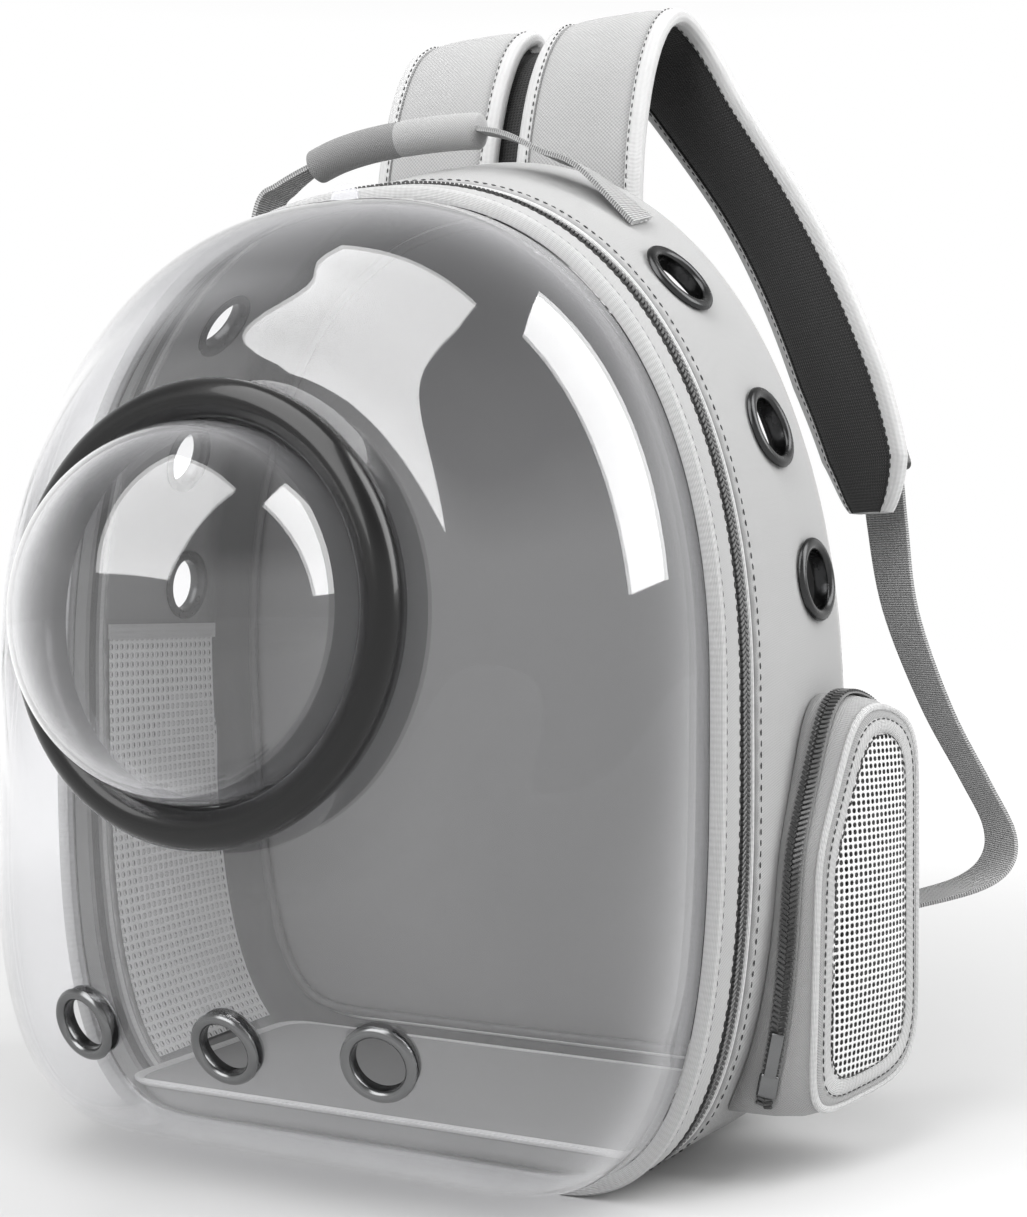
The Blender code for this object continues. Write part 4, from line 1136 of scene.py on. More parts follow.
# %% Dome
DOME_RADIUS = RING_BORE - 0.0004
DOME_WALL = 0.0018
DOME_BULGE = 0.060
DOME_STEPS = 36
neck = 0.62 * RING_THICKNESS
outer = [(DOME_RADIUS + 0.003, -0.0014), (DOME_RADIUS + 0.003, 0.0), (DOME_RADIUS, 0.0)]
inner = [(DOME_RADIUS - DOME_WALL, -0.0014)]
for step in range(DOME_STEPS + 1):
    turn = 0.5 * math.pi * step / DOME_STEPS
    for line, inset in ((outer, 0.0), (inner, DOME_WALL)):
        height = neck + (DOME_BULGE - inset) * math.sin(turn)
        line.append(((DOME_RADIUS - inset) * math.cos(turn), height))
bm = spun(inner[::-1] + outer, TURNED_SIDES, closed=False)
bm.transform(dome_place)
options = {"instead_of": ["bubble_dome"], "slot": "clear_dome", "sharp": 50}
place("dome_moulding", bm, [clear_dome], body="bubble", **options)

# %% [markdown]
# ## Eyelets
# Each eyelet is two rolled flanges joined by a barrel through the wall. The dark ones sit in
# the cloth, and the grey ones in the clear shell.


# %% Eyelets
EYELET_SEAT = 0.0010
EYELET_ROLL = 0.0021


def eyelet(name, node, at, radius, thickness, finish, slot):
    """Two flanges and their barrel, turned in one profile."""
    bore = EYELET_BORE_SHARE * radius
    brim = radius - 0.0005
    roll = 0.5 * (radius - bore)
    under = -thickness - EYELET_SEAT
    profile = [(bore, under)]
    for x, z in arc((0, 0), 1.0, 180, 0, 10):
        profile.append((bore + roll + roll * x, EYELET_SEAT + EYELET_ROLL * z))
    profile += [(brim, EYELET_SEAT - 0.0006), (bore + 0.0010, EYELET_SEAT - 0.0006)]
    profile += [(bore + 0.0010, under), (brim, under), (brim, under - 0.0008)]
    profile.append((bore + 0.0012, under - 0.0014))
    bm = spun(profile, TURNED_SIDES // 2)
    bm.transform(at)
    place(name, bm, [finish], instead_of=[node], slot=slot, sharp=45)


cloth_sizes = (SIDE_EYELET_RADIUS, WALL, eyelet_dark, "dark_eyelet")
for side, word in SIDES:
    for level, at in side_vents(side):
        end = level + "_" + word
        eyelet("wall_vent_" + end, "side_eyelet_" + end, at, *cloth_sizes)
shell_sizes = (FRONT_EYELET_RADIUS, SHELL_WALL, eyelet_grey, "grey_eyelet")
for word, side_share, height_share in FRONT_VENTS:
    at = shell_place(side_share, height_share)
    eyelet("shell_vent_" + word, "front_eyelet_" + word, at, *shell_sizes)

# %% [markdown]
# ## The cabin
# The back wall is a padded board in grey cloth, with dark piping round it. A thick mat lies
# on the base. Both are crowned: loops shrink towards the middle while they rise. Then each
# pad is remeshed evenly and swollen a little by Blender's cloth, with pressure inside and no
# gravity, so its faces get the slow unevenness of stuffed cloth. No point may travel further
# than a cap, which keeps the pad in its place.


# %% Swell a pad
VOXEL = 0.004
CLOTH_FRAMES = 20


def apply_modifiers(piece):
    graph = bpy.context.evaluated_depsgraph_get()
    made = bpy.data.meshes.new_from_object(piece.evaluated_get(graph))
    piece.modifiers.clear()
    piece.data = made


def swell(piece, cap, pressure=4.0):
    """Swell a pad with a cloth simulation, and hold each point near where it began."""
    even = piece.modifiers.new("even", "REMESH")
    even.mode = "VOXEL"
    even.voxel_size = VOXEL
    apply_modifiers(piece)
    began = [vert.co.copy() for vert in piece.data.vertices]
    cloth = piece.modifiers.new("cloth", "CLOTH")
    cloth.settings.use_pressure = True
    cloth.settings.uniform_pressure_force = pressure
    cloth.settings.effector_weights.gravity = 0.0
    for number in range(1, CLOTH_FRAMES + 1):
        bpy.context.scene.frame_set(number)
    apply_modifiers(piece)
    for vert, start in zip(piece.data.vertices, began):
        moved = vert.co - start
        vert.co = start + moved * min(1.0, cap / max(cap, moved.length))
    bpy.context.scene.frame_set(1)
    piece.data.shade_smooth()
    smooth = piece.modifiers.new("smooth", "SUBSURF")
    smooth.levels = smooth.render_levels = 1
    print(piece.name, "swelled,", len(piece.data.vertices), "points")


# %% Back wall
CROWN_SHARES = (0.01, 0.15, 0.3, 0.45, 0.6, 0.72, 0.82, 0.9, 0.95, 0.98)


def crown(loop, centre, rise):
    """Loops that shrink from an edge loop to a face's centre while they rise."""
    return [[centre.lerp(p, s) + rise * (1 - s ** 4) for p in loop] for s in CROWN_SHARES]


def crowned(loops, centre_low, centre_high, rise_low, rise_high):
    """A padded plate: edge loops, and a crown over each of its two faces."""
    over = crown(loops[-1], centre_high, rise_high)
    return crown(loops[0], centre_low, rise_low) + loops + over[::-1]


PANEL_THICKNESS = 0.012
PANEL_PROUD = 0.004
panel_rear = 1.0 + PANEL_PROUD / BASE_DEPTH
panel_front = panel_rear - PANEL_THICKNESS / BASE_DEPTH
panel_out = -EDGE_ROUND - WALL - GAP
PANEL_AROUND = 240
PANEL_TUCKS = ((0.0, 0.004), (0.15, 0.0015), (0.4, 0.0), (0.6, 0.0), (0.85, 0.0015), (1.0, 0.004))
PANEL_CROWN = Vector((0.0, 0.002, 0.0))
loops = []
for depth_share, tuck in PANEL_TUCKS:
    share = mix(panel_front, panel_rear, depth_share)
    loops.append(ring_at(share, panel_out - tuck, PANEL_AROUND))
ends = [Vector((0.0, depth_y(share, 0.2), 0.2)) for share in (panel_front, panel_rear)]
rows = crowned(loops, *ends, -PANEL_CROWN, PANEL_CROWN)
options = {"instead_of": ["back_panel"], "slot": "cabin_cloth", "sharp": 60}
back_wall = formed("back_wall_pad", rows, [cabin_cloth], **options)
swell(back_wall, 0.0012)
PIPE = 0.0022
pipe_share = panel_front - (PIPE + GAP) / TOP_DEPTH
back_cord = round_profile(pipe_share, panel_out - 0.003 - PIPE, PIPE)
trim("back_wall_piping", back_cord, dark_piping, instead_of=["back_piping"], slot="dark_piping")
behind = [Vector((0.0, 1.0, 0.0))] * PANEL_AROUND
seams = []
for inset, lift in ((0.014, 0.0012), (0.017, 0.0014)):
    line = ring_at(panel_rear, panel_out - inset, PANEL_AROUND)
    seams.append(([p + Vector((0.0, lift, 0.0)) for p in line], behind))
sizes = {"spacing": 0.005, "length": 0.0034, "thick": 0.0009}
stitch("back_wall_stitches", seams, pale_thread, "cabin_cloth", closed=True, **sizes)

# %% Floor mat
mat_low = WALL + GAP
mat_front = FRONT_Y + 0.0045
mat_back = FRONT_Y + BASE_DEPTH + PANEL_PROUD - PANEL_THICKNESS - 0.007


MAT_AROUND = 200
MAT_CORNER = 0.012
MAT_SECTION = ((0.0012, 0.006), (0.003, 0.002), (0.009, 0.0012), (0.0125, 0.0015), (0.0146, 0.004))
MAT_CROWN = Vector((0.0, 0.0, 0.0012))
MAT_CORD = 0.0015


def rounded_loop(half_width, half_height, radius, steps):
    """A rectangle with round corners, as (x, y) pairs about its middle."""
    points = []
    for cx, cy, start in ((1, -1, -90), (1, 1, 0), (-1, 1, 90), (-1, -1, 180)):
        centre = (cx * (half_width - radius), cy * (half_height - radius))
        points += arc(centre, radius, start, start + 90, steps)
    return points


def mat_loop(rise, inset):
    """A loop as wide as the gusset is inside, at a height over the mat's base."""
    z = mat_low + rise
    half = side_point(max(z, 0.004), 0.3).x - WALL - 0.001 - inset
    pairs = rounded_loop(half, 0.5 * (mat_back - mat_front) - inset, MAT_CORNER, 8)
    return even_points([Vector((x, middle_y + y, z)) for x, y in pairs], MAT_AROUND)


middle_y = 0.5 * (mat_front + mat_back)
loops = [mat_loop(rise, inset) for rise, inset in MAT_SECTION]
ends = [Vector((0.0, middle_y, mat_low + MAT_SECTION[index][0])) for index in (0, -1)]
rows = crowned(loops, *ends, Vector(), MAT_CROWN)
options = {"instead_of": ["floor_pad"], "slot": "cabin_cloth", "sharp": 60}
mat = formed("floor_mat", rows, [mat_cloth], **options)
swell(mat, 0.0010)
rows = [mat_loop(0.0132 + MAT_CORD * v, 0.0030 + MAT_CORD * u) for u, v in circle(8)]
formed("floor_mat_piping", rows, [binding_tape], closed=True, slot="cabin_cloth")

# %% [markdown]
# ## Side pockets
# The pocket is a cloth tray that stands further out towards the back. Netting fills its
# face, a tape binds the netting's edge, and a zip runs up its front and over its top.


# %% Where a pocket stands
def seat_x(y, z):
    """X where the pocket's rim meets the side wall."""
    share = min(1.0, (y - FRONT_Y) / mix(BASE_DEPTH, TOP_DEPTH, z / BACK_HEIGHT))
    return side_point(z, share).x + back_drop(share) + 0.0006


pocket_low_z = POCKET_LOW_SHARE * BACK_HEIGHT
pocket_front_y = depth_y(POCKET_FRONT_SHARE, pocket_low_z)
pocket_back_y = depth_y(POCKET_BACK_SHARE, pocket_low_z)


def face_x(y):
    """X of the pocket's outer face."""
    share = (y - pocket_front_y) / (pocket_back_y - pocket_front_y)
    return BACK_HALF_WIDTH + mix(POCKET_FRONT_PROUD, POCKET_BACK_PROUD, share)


def pocket_row(side, inset, level, sunk=0.0):
    """One loop of the pocket: level 0 lies on the wall and level 1 on the face."""
    loop = []
    for y, z in pocket_outline(inset):
        x = mix(seat_x(y, z), face_x(y), level) - sunk
        loop.append(Vector((side * x, y, z)))
    return loop


# %% Pocket cloth, binding and nets
POCKET_BORDER = 0.013
POCKET_PROFILE = (
    (0.0, 0.0), (0.0, 0.25), (0.0002, 0.5), (0.0012, 0.75), (0.0035, 0.93), (0.0065, 1.0),
    (POCKET_BORDER - 0.003, 1.0, 0.0003), (POCKET_BORDER, 1.0, 0.0006),
)
POCKET_WALL = 0.0018
POCKET_SEAMS = (0.0085, POCKET_BORDER + 0.0012)
POCKET_CORD = 0.0013
NET_BULGE = 0.0025
IN_POCKET = Vector((0.0, 0.02, 0.1))
for side, word in SIDES:
    bm = skin([pocket_row(side, *spot) for spot in POCKET_PROFILE])
    face_out(bm, IN_POCKET)
    options = {"instead_of": ["side_pocket_" + word], "slot": "pocket_cloth"}
    wall(place("pocket_cloth_" + word, bm, [pocket_cloth], **options), POCKET_WALL)
    options = {"closed": True, "slot": "pocket_cloth"}
    rows = []
    for u, v in circle(10):
        inset = POCKET_BORDER - 0.0022 + 0.0028 * u
        rows.append(pocket_row(side, inset, 1.0, 0.0002 - 0.0009 * v))
    formed("pocket_binding_" + word, rows, [frame_tape], **options)
    outs = [Vector((side, 0.0, 0.0))] * POCKET_AROUND
    seams = [(pocket_row(side, inset, 1.0, -0.0004), outs) for inset in POCKET_SEAMS]
    stitch("pocket_stitches_" + word, seams, thread_and_seam_shade, spacing=0.0034, **options)
    rows = []
    for u, v in circle(8):
        rows.append(pocket_row(side, 0.0042 + POCKET_CORD * u, 0.965, -POCKET_CORD * v))
    formed("pocket_piping_" + word, rows, [binding_tape], **options)


NET_SHARES = (1.0, 0.9, 0.78, 0.64, 0.5, 0.36, 0.22, 0.1, 0.01)


def net_sheet(name, node, side, inset, x_at, bulge, finish):
    """A sheet of netting inside the pocket's outline: loops that shrink to its middle."""
    loop = pocket_outline(inset)
    middle_y = sum(y for y, z in loop) / len(loop)
    middle_z = sum(z for y, z in loop) / len(loop)
    rows = []
    for share in NET_SHARES:
        row = []
        for y, z in loop:
            y = mix(middle_y, y, share)
            z = mix(middle_z, z, share)
            row.append(Vector((side * (x_at(y, z) + bulge * (1 - share ** 2)), y, z)))
        rows.append(row)
    bm = skin(rows)
    middle = [edge for edge in bm.edges if edge.is_boundary and edge.calc_length() < 0.0002]
    bmesh.ops.holes_fill(bm, edges=middle, sides=0)
    uv = bm.loops.layers.uv["cloth"]
    for face in bm.faces:
        for corner in face.loops:
            corner[uv].uv = (corner.vert.co.y, corner.vert.co.z)
    face_out(bm, IN_POCKET)
    area = sum(face.calc_area() for face in bm.faces)
    flat = (extent(loop, 0), extent(loop, 1))
    area = min(area, flat[0] * flat[1])
    piece = place(name, bm, [finish], instead_of=[node], slot="net")


def on_face(y, z):
    return face_x(y) - 0.0006


def on_wall(y, z):
    return seat_x(y, z) - WALL - 0.0018


for side, word in SIDES:
    inset = POCKET_BORDER - 0.002
    names = ("pocket_net_" + word, "pocket_mesh_" + word)
    net_sheet(*names, side, inset, on_face, NET_BULGE, white_net)
    names = ("window_net_" + word, "window_mesh_" + word)
    net_sheet(*names, side, 0.004, on_wall, 0.0, window_net)

# %% [markdown]
# ## Netting inside the cabin
# The side walls are lined with netting below their vents, from the front rim to the back
# corner, and the window is cut behind it. The net is a sheet a little inside the wall, with
# a tape sewn along its top.

# %% Netting inside the cabin
NET_TOP = 0.212
NET_FRONT_SHARE = 0.235
NET_BACK_SHARE = 0.86
NET_STEPS = 26
NET_OFF = 0.0024
NET_LOW = 0.020
NET_THREAD = 0.0005
NET_TAPE = ((-0.0035, -0.0002), (0.0035, -0.0002), (0.0035, 0.0009), (-0.0035, 0.0009))


def lining_point(side, z, share):
    point = side_point(z, share)
    return Vector((side * (point.x + back_drop(share) - WALL - NET_OFF), point.y, z))


for side, word in SIDES:
    rows = []
    for step in range(NET_STEPS + 1):
        z = mix(NET_LOW, NET_TOP, step / NET_STEPS)
        shares = [mix(NET_FRONT_SHARE, NET_BACK_SHARE, k / 15) for k in range(16)]
        front = [lining_point(side, z, share) for share in shares]
        through = Vector((side * NET_THREAD, 0.0, 0.0))
        rows.append(front + [point + through for point in reversed(front)])
    net = formed("cabin_net_" + word, rows, [window_net], slot="net")
    rows = []
    for k in range(31):
        share = mix(NET_FRONT_SHARE - 0.01, NET_BACK_SHARE + 0.01, k / 30)
        point = lining_point(side, NET_TOP, share)
        rows.append([point + Vector((-side * off, 0.0, up)) for up, off in NET_TAPE])
    formed("cabin_net_tape_" + word, rows, [frame_tape], slot="net")

# %% Pocket zips
ZIP_LEVEL = 0.42
for side, word in SIDES:
    loop = pocket_outline(-0.0006)
    seats = []
    for y, z in loop:
        x = mix(seat_x(y, z) + 0.0042, face_x(y) - 0.0050, ZIP_LEVEL)
        seats.append(Vector((side * x, y, z)))
    middle = sum(seats, Vector()) / len(seats)
    low_front = max(range(len(loop)), key=lambda i: -loop[i][0] - 0.4 * loop[i][1])
    top_back = max(range(len(loop)), key=lambda i: loop[i][0] + 0.9 * loop[i][1])
    if low_front < top_back:
        line = seats[top_back:] + seats[:low_front + 1]
    else:
        line = seats[top_back:low_front + 1]
    outs = [Vector((0.0, p.y - middle.y, p.z - middle.z)).normalized() for p in line]
    wide = Vector((side * 0.0040, 0.0, 0.0))
    rows = []
    for point, out in zip(line, outs):
        lift = out * 0.0006
        rows.append([point - wide, point + wide, point + wide + lift, point - wide + lift])
    options = {"instead_of": ["pocket_zip_" + word], "slot": "zip_tape"}
    formed("pocket_tape_" + word, rows, [zip_tape], **options)
    raised = [point + out * 0.0010 for point, out in zip(line, outs)]
    teeth("pocket_teeth_" + word, raised, outs, 0.0064, 0.0015)
    slider("pocket_slider_" + word, raised[-6], raised[-12], outs[-6])

# %% [markdown]
# ## Straps
# A strap is a padded band: cloth over foam outside, a black knit inside, and a pale binding
# folded over each edge. One section is drawn once, and carried along a smooth path through
# a few frames of centre, width direction and width.

# %% Paths of straps
STRAP_WIDTH = 0.064
STRAP_THICKNESS = 0.010
STRAP_SPACING = 0.075
STRAP_SECTIONS = (
    (0.000, 0.840, 0.940, 0.0, 1.00),
    (0.000, 0.862, 1.020, 0.0, 1.00),
    (0.000, 0.935, 1.102, 0.0, 1.00),
    (0.002, 1.040, 1.160, 0.0, 1.00),
    (0.004, 1.173, 1.187, 0.0, 1.00),
    (0.036, 1.293, 1.172, -10.0, 1.00),
    (0.092, 1.347, 1.140, -20.0, 1.00),
    (0.172, 1.367, 1.092, -28.0, 1.00),
    (0.348, 1.373, 0.987, -33.0, 1.00),
    (0.478, 1.373, 0.890, -33.0, 1.00),
    (0.592, 1.367, 0.780, -32.0, 1.00),
    (0.668, 1.353, 0.692, -30.0, 0.84),
    (0.694, 1.333, 0.632, -28.0, 0.36),
)


def heading(degrees):
    turn = math.radians(degrees)
    return Vector((math.cos(turn), math.sin(turn), 0.0))


def strap_frames():
    frames = []
    for across, behind, up, turn, width in STRAP_SECTIONS:
        x = 0.5 * STRAP_SPACING + across * BACK_HALF_WIDTH
        centre = Vector((x, FRONT_Y + behind * BASE_DEPTH, up * BACK_HEIGHT))
        frames.append((centre, heading(turn), width * STRAP_WIDTH))
    return frames


def curve_through(a, b, c, d, share):
    """A point of the smooth curve from b to c, with a before and d after."""
    square = share * share
    cube = square * share
    bend = (a * 2 - b * 5 + c * 4 - d) * square + (b * 3 - a - c * 3 + d) * cube
    return 0.5 * (b * 2 + (c - a) * share + bend)


def smooth_frames(frames, steps=8):
    """More frames between the given ones, on smooth curves."""
    made = []
    for index in range(len(frames) - 1):
        near = [frames[min(max(index + k, 0), len(frames) - 1)] for k in (-1, 0, 1, 2)]
        for step in range(steps):
            share = step / steps
            centre = curve_through(*[f[0] for f in near], share)
            wide = curve_through(*[f[1] for f in near], share).normalized()
            width = mix(near[1][2], near[2][2], share)
            made.append((centre, wide, width))
    made.append(frames[-1])
    return made


def through_directions(frames):
    """At each frame, the way through the band."""
    found = []
    for index, (centre, wide, width) in enumerate(frames):
        after = frames[min(len(frames) - 1, index + 1)][0]
        before = frames[max(0, index - 1)][0]
        found.append(wide.cross(after - before).normalized())
    return found


def band_rows(frames, section, thickness, side, shift=0.0):
    """Sections of a band along its frames. A section is (across, out) in half sizes."""
    rows = []
    for (centre, wide, width), through in zip(frames, through_directions(frames)):
        loop = []
        for across, out in section:
            point = centre + wide * (0.5 * width * across)
            point += through * (0.5 * thickness * out + shift)
            loop.append(mirrored(point, side))
        rows.append(loop)
    return rows


# %% Padded straps
STRAP_HALF_SECTION = (
    (0.00, 1.00), (0.30, 0.99), (0.52, 0.93), (0.66, 0.82), (0.73, 0.66), (0.765, 0.48),
    (0.775, 0.76), (0.85, 0.82), (0.94, 0.68), (0.99, 0.38),
)
BINDING_FROM = 0.77
STRAP_SEAMS = ((-0.80, 0.84), (-0.80, -0.76), (0.80, 0.84), (0.80, -0.76))
upper = [(-across, out) for across, out in reversed(STRAP_HALF_SECTION[1:])]
upper += STRAP_HALF_SECTION
lower = [(across, -0.9 * out) for across, out in reversed(upper)]
strap_section = upper + lower


def strap_zone(row, column):
    """0 is cloth, 1 binding, 2 lining."""
    after = strap_section[(column + 1) % len(strap_section)]
    here = strap_section[column]
    if 0.5 * abs(here[0]) + 0.5 * abs(after[0]) > BINDING_FROM:
        return 1
    return 0 if here[1] > 0 else 2


right_strap = smooth_frames(strap_frames())
for side, word in SIDES:
    rows = band_rows(right_strap, strap_section, STRAP_THICKNESS, side)
    finishes = [strap_cloth, binding_tape, strap_lining]
    options = {"instead_of": ["shoulder_strap_" + word], "slot": "strap_cloth", "sharp": 50}
    strap = formed("strap_" + word, rows, finishes, zone=strap_zone, **options)
    throughs = [mirrored(through, side) for through in through_directions(right_strap)]
    seams = []
    for place_across in STRAP_SEAMS:
        rows = band_rows(right_strap, (place_across,), STRAP_THICKNESS, side)
        seams.append(([row[0] for row in rows], throughs))
    # The dark stitches are partly painted shade, for the shadow lines along the strap's edges.
    stitch("strap_stitches_" + word, seams, thread_and_seam_shade, "strap_cloth")

# %% Yoke
YOKE_WIDTH = 0.030
YOKE_THICKNESS = 0.002
YOKE_SECTIONS = 5
yoke_frames = []
for centre, wide, width in strap_frames()[:YOKE_SECTIONS]:
    yoke_frames.append((Vector((0.0, centre.y, centre.z)), Vector((1, 0, 0)), YOKE_WIDTH))
flat_section = (
    (-1, -0.5), (-0.98, -1), (0, -1), (0.98, -1), (1, -0.5),
    (1, 0.5), (0.98, 1), (0, 1), (-0.98, 1), (-1, 0.5),
)
shift = -0.5 * STRAP_THICKNESS - 3 * GAP - 0.5 * YOKE_THICKNESS
rows = band_rows(smooth_frames(yoke_frames), flat_section, YOKE_THICKNESS, 1, shift)
options = {"instead_of": ["strap_yoke"], "slot": "strap_lining", "sharp": 50}
formed("strap_bridge", rows, [strap_lining], **options)

# %% [markdown]
# ## Buckles and webbing
# A ladder-lock buckle is a moulded frame with crossbars. The webbing leaves it, hangs down
# in a long bend and comes back to the pack, where it is sewn into the rounded back edge.

# %% Buckle
BUCKLE_SIZE = (0.038, 0.034, 0.006)
BUCKLE_BAR = 0.006
BUCKLE_CORNER = 0.0045
BUCKLE_SOFT = 0.0012
BUCKLE_PROFILE = (
    (0.0, -0.6), (0.0, 0.6), (-BUCKLE_SOFT, 1.0), (BUCKLE_SOFT - BUCKLE_BAR, 1.0),
    (-BUCKLE_BAR, 0.6), (-BUCKLE_BAR, -0.6), (BUCKLE_SOFT - BUCKLE_BAR, -1.0), (-BUCKLE_SOFT, -1.0),
)
CROSSBAR_SIZE = (BUCKLE_SIZE[0] - BUCKLE_BAR, 0.0036, 0.0042)
(upper, _, _), (lower, wide, _) = strap_frames()[10:12]
along = (lower - upper).normalized()
out = along.cross(wide).normalized()
if out.y < 0:
    out.negate()
centre = mix(upper, lower, 0.75) + out * (0.5 * STRAP_THICKNESS + 0.5 * BUCKLE_SIZE[2] + GAP)
half_sizes = [0.5 * size for size in BUCKLE_SIZE]
for side, word in SIDES:
    rows = []
    for grow, rise in BUCKLE_PROFILE:
        radius = BUCKLE_CORNER + 0.3 * grow
        pairs = rounded_loop(half_sizes[0] + grow, half_sizes[1] + grow, radius, 5)
        lifted = centre + out * (half_sizes[2] * rise)
        rows.append([mirrored(lifted + wide * u + along * v, side) for u, v in pairs])
    bm = skin(rows, closed=True)
    for drop in (-0.10, 0.22):
        bar = mirrored(centre + along * (drop * BUCKLE_SIZE[1]), side)
        matrix = set_on(bar, mirrored(wide, side), mirrored(out, side), CROSSBAR_SIZE)
        add_block(bm, matrix, 0.0009)
    bmesh.ops.recalc_face_normals(bm, faces=bm.faces)
    options = {"instead_of": ["strap_buckle_" + word], "slot": "buckle_plastic"}
    place("ladder_buckle_" + word, bm, [buckle_black], **options)

# %% Webbing
WEBBING_WIDTH = 0.025
WEBBING_THICKNESS = 0.0018
WEBBING_SECTIONS = (
    (0.945, 1.420, 0.621, -28.0),
    (0.985, 1.412, 0.526, -36.0),
    (1.090, 1.395, 0.422, -42.0),
    (1.205, 1.367, 0.344, -45.0),
    (1.278, 1.327, 0.296, -45.0),
    (1.284, 1.270, 0.264, -45.0),
    (1.225, 1.195, 0.242, -45.0),
    (1.080, 1.080, 0.225, -45.0),
)
WEBBING_END = (0.215, 0.975)
webbing_frames = [(centre - along * 0.004, wide, WEBBING_WIDTH)]
webbing_frames.append((centre + along * (half_sizes[1] + 4 * GAP), wide, WEBBING_WIDTH))
for across, back, up, turn in WEBBING_SECTIONS:
    point = Vector((across * BACK_HALF_WIDTH, FRONT_Y + back * BASE_DEPTH, up * BACK_HEIGHT))
    webbing_frames.append((point, heading(turn), WEBBING_WIDTH))
seam = side_point(WEBBING_END[0] * BACK_HEIGHT, WEBBING_END[1])
seam.x += back_drop(WEBBING_END[1])
webbing_frames.append((seam + heading(45.0) * 2 * GAP, heading(-45.0), WEBBING_WIDTH))
webbing_line = smooth_frames(webbing_frames)
for side, word in SIDES:
    rows = band_rows(webbing_line, flat_section, WEBBING_THICKNESS, side)
    options = {"instead_of": ["strap_webbing_" + word], "slot": "webbing", "sharp": 50}
    formed("webbing_" + word, rows, [webbing_tape], **options)

# %% [markdown]
# ## The top handle
# A webbing is sewn to the top at both ends, and a padded tube is wrapped round its middle.
# The tube's left part is darker than its right, with a seam between them.

# %% Handle
HANDLE_DEPTH_SHARE = 0.60
HANDLE_HALF_SPAN = 0.094
HANDLE_LEFT_SHARE = 1.08
HANDLE_RISE = 0.017
HANDLE_WIDTH = 0.020
HANDLE_THICKNESS = 0.0022
HANDLE_SECTIONS = (
    (-0.98, -0.35, 1.00),
    (-0.88, 0.10, 0.80),
    (-0.72, 0.52, 0.50),
    (-0.57, 0.78, 0.50),
    (-0.38, 0.94, 0.50),
    (-0.15, 1.00, 0.50),
    (0.06, 0.98, 0.50),
    (0.21, 0.92, 0.50),
    (0.38, 0.62, 0.80),
    (0.55, 0.10, 1.00),
    (0.74, -0.42, 1.00),
)
GRIP_FIRST, GRIP_LAST = 2, 7
GRIP_RADIUS = 0.0078


def top_point(x, share):
    """The point on the pack's top at a distance from its middle and a depth share."""
    right = outline(share)[: AROUND // 2 + 1]
    for first, second in zip(right, right[1:]):
        if first.z > RIM_WIDEST_Z and second.x <= abs(x) <= first.x:
            z = mix(first.z, second.z, (first.x - abs(x)) / (first.x - second.x))
            return Vector((x, depth_y(share, z), z))
    return Vector((x, depth_y(share, right[-1].z), right[-1].z))


def handle_anchor(x):
    centre = top_point(x, HANDLE_DEPTH_SHARE)
    wide = top_point(x, HANDLE_DEPTH_SHARE + 0.05) - top_point(x, HANDLE_DEPTH_SHARE - 0.05)
    centre.z += HANDLE_THICKNESS + 2 * GAP
    return centre, wide.normalized(), HANDLE_WIDTH


top = top_point(0.0, HANDLE_DEPTH_SHARE)
handle_frames = [handle_anchor(-HANDLE_LEFT_SHARE * HANDLE_HALF_SPAN)]
for across, up, width in HANDLE_SECTIONS:
    centre = Vector((across * HANDLE_HALF_SPAN, top.y, top.z + up * HANDLE_RISE))
    handle_frames.append((centre, Vector((0, 1, 0)), width * HANDLE_WIDTH))
handle_frames.append(handle_anchor(HANDLE_HALF_SPAN))
rows = band_rows(smooth_frames(handle_frames), flat_section, HANDLE_THICKNESS, 1)
options = {"instead_of": ["handle_webbing"], "slot": "webbing", "sharp": 50}
formed("handle_tape", rows, [webbing_tape], **options)

# %% Grip
grip_dark = woven("grip_dark", 0.17, 0.0013, contrast=0.2)
grip_pale = woven("grip_pale", 0.30, 0.0013, contrast=0.2)
GRIP_SEAM_SHARE = 0.52
grip_frames = smooth_frames(handle_frames[GRIP_FIRST + 1:GRIP_LAST + 2], 12)
GRIP_ENDS = {0: 0.35, 1: 0.80, 2: 0.95}
CREASE_DEPTH = 0.035
CREASE_WIDTH = 0.012
throughs = through_directions(grip_frames)
rows = []
for index, ((centre, wide, _), through) in enumerate(zip(grip_frames, throughs)):
    from_end = min(index, len(grip_frames) - 1 - index)
    off_seam = (index / len(grip_frames) - GRIP_SEAM_SHARE) / CREASE_WIDTH
    radius = GRIP_RADIUS * GRIP_ENDS.get(from_end, 1.0)
    radius *= 1 - CREASE_DEPTH * math.exp(-off_seam ** 2)
    rows.append([centre + radius * (u * wide + v * through) for u, v in circle(28)])


def grip_zone(row, column):
    """0 is the darker left part, and 1 the paler right one."""
    return int(row > GRIP_SEAM_SHARE * len(rows))


options = {"instead_of": ["handle_grip"], "slot": "grip_cloth", "sharp": 60}
grip = formed("grip_tube", rows, [grip_dark, grip_pale], zone=grip_zone, **options)

# %% [markdown]
# ## Floor and light
# The photograph has a white ground and two tall soft boxes, which show as white patches on
# the shell and the dome. Where the patches' rays go after they bounce off the model says
# where the boxes stand: one high in front, the other high on the right. The world is white
# near the horizon and dimmer overhead, and the floor fades to white far from the pack.

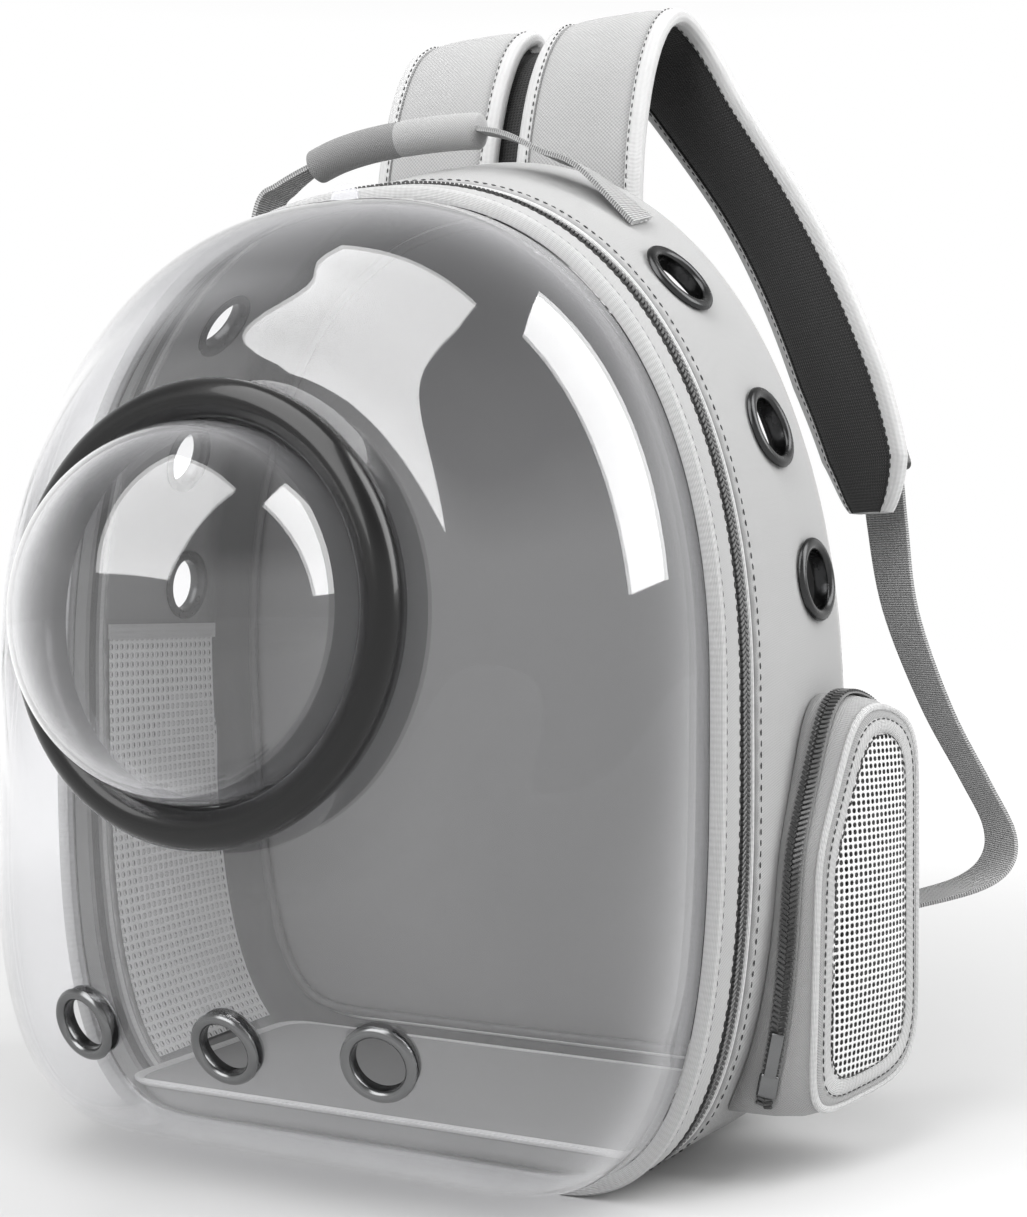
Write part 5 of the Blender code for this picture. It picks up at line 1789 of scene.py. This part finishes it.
# %% Floor
FLOOR_FADE = (0.35, 1.1)
bm = bmesh.new()
bmesh.ops.create_grid(bm, x_segments=1, y_segments=1, size=8.0)
mesh = bpy.data.meshes.new("studio_floor")
bm.to_mesh(mesh)
bm.free()
floor = bpy.data.objects.new("studio_floor", mesh)
bpy.context.scene.collection.objects.link(floor)
ground = Finish("ground", Roughness=0.8, Emission_Strength=1.0)
spot = ground.node("ShaderNodeTexCoord", output="Object")
away = ground.node("ShaderNodeVectorMath", {"operation": "LENGTH"}, {0: spot}, "Value")
far = away.step(*FLOOR_FADE)
ground.give(Base_Color=ground.shade(grey(0.57), grey(0.0), far))
ground.give(Emission_Color=ground.shade(grey(0.0), grey(1.0), far))
mesh.materials.append(ground.material)

# %% Lamps and world
SOFT_BOXES = (
    ("front_box", (-0.20, -1.00, 1.40), (0.0, -0.1, 0.25), 1.25, 2.0, 37.0),
    ("side_box", (1.20, 0.40, 1.15), (0.03, -0.1, 0.25), 0.85, 1.6, 28.0),
)
for name, at, target, width, height, power in SOFT_BOXES:
    data = bpy.data.lights.new(name, "AREA")
    data.shape = "RECTANGLE"
    data.size = width
    data.size_y = height
    data.energy = power
    lamp = bpy.data.objects.new(name, data)
    lamp.location = at
    lamp.rotation_euler = (Vector(target) - Vector(at)).to_track_quat("-Z", "Y").to_euler()
    bpy.context.scene.collection.objects.link(lamp)
world = bpy.data.worlds.new("studio")
world.use_nodes = True
WORLD_LIFT = ((0.30, 1.0), (0.60, 0.45))
nodes = world.node_tree.nodes
heading_of = nodes.new("ShaderNodeSeparateXYZ")
ramp = nodes.new("ShaderNodeValToRGB")
for stop, (height, level) in zip(ramp.color_ramp.elements, WORLD_LIFT):
    stop.position = height
    stop.color = (level, level, level, 1.0)
links = world.node_tree.links
links.new(nodes.new("ShaderNodeTexCoord").outputs["Generated"], heading_of.inputs[0])
links.new(heading_of.outputs[2], ramp.inputs[0])
links.new(ramp.outputs[0], nodes["Background"].inputs["Color"])
bpy.context.scene.world = world
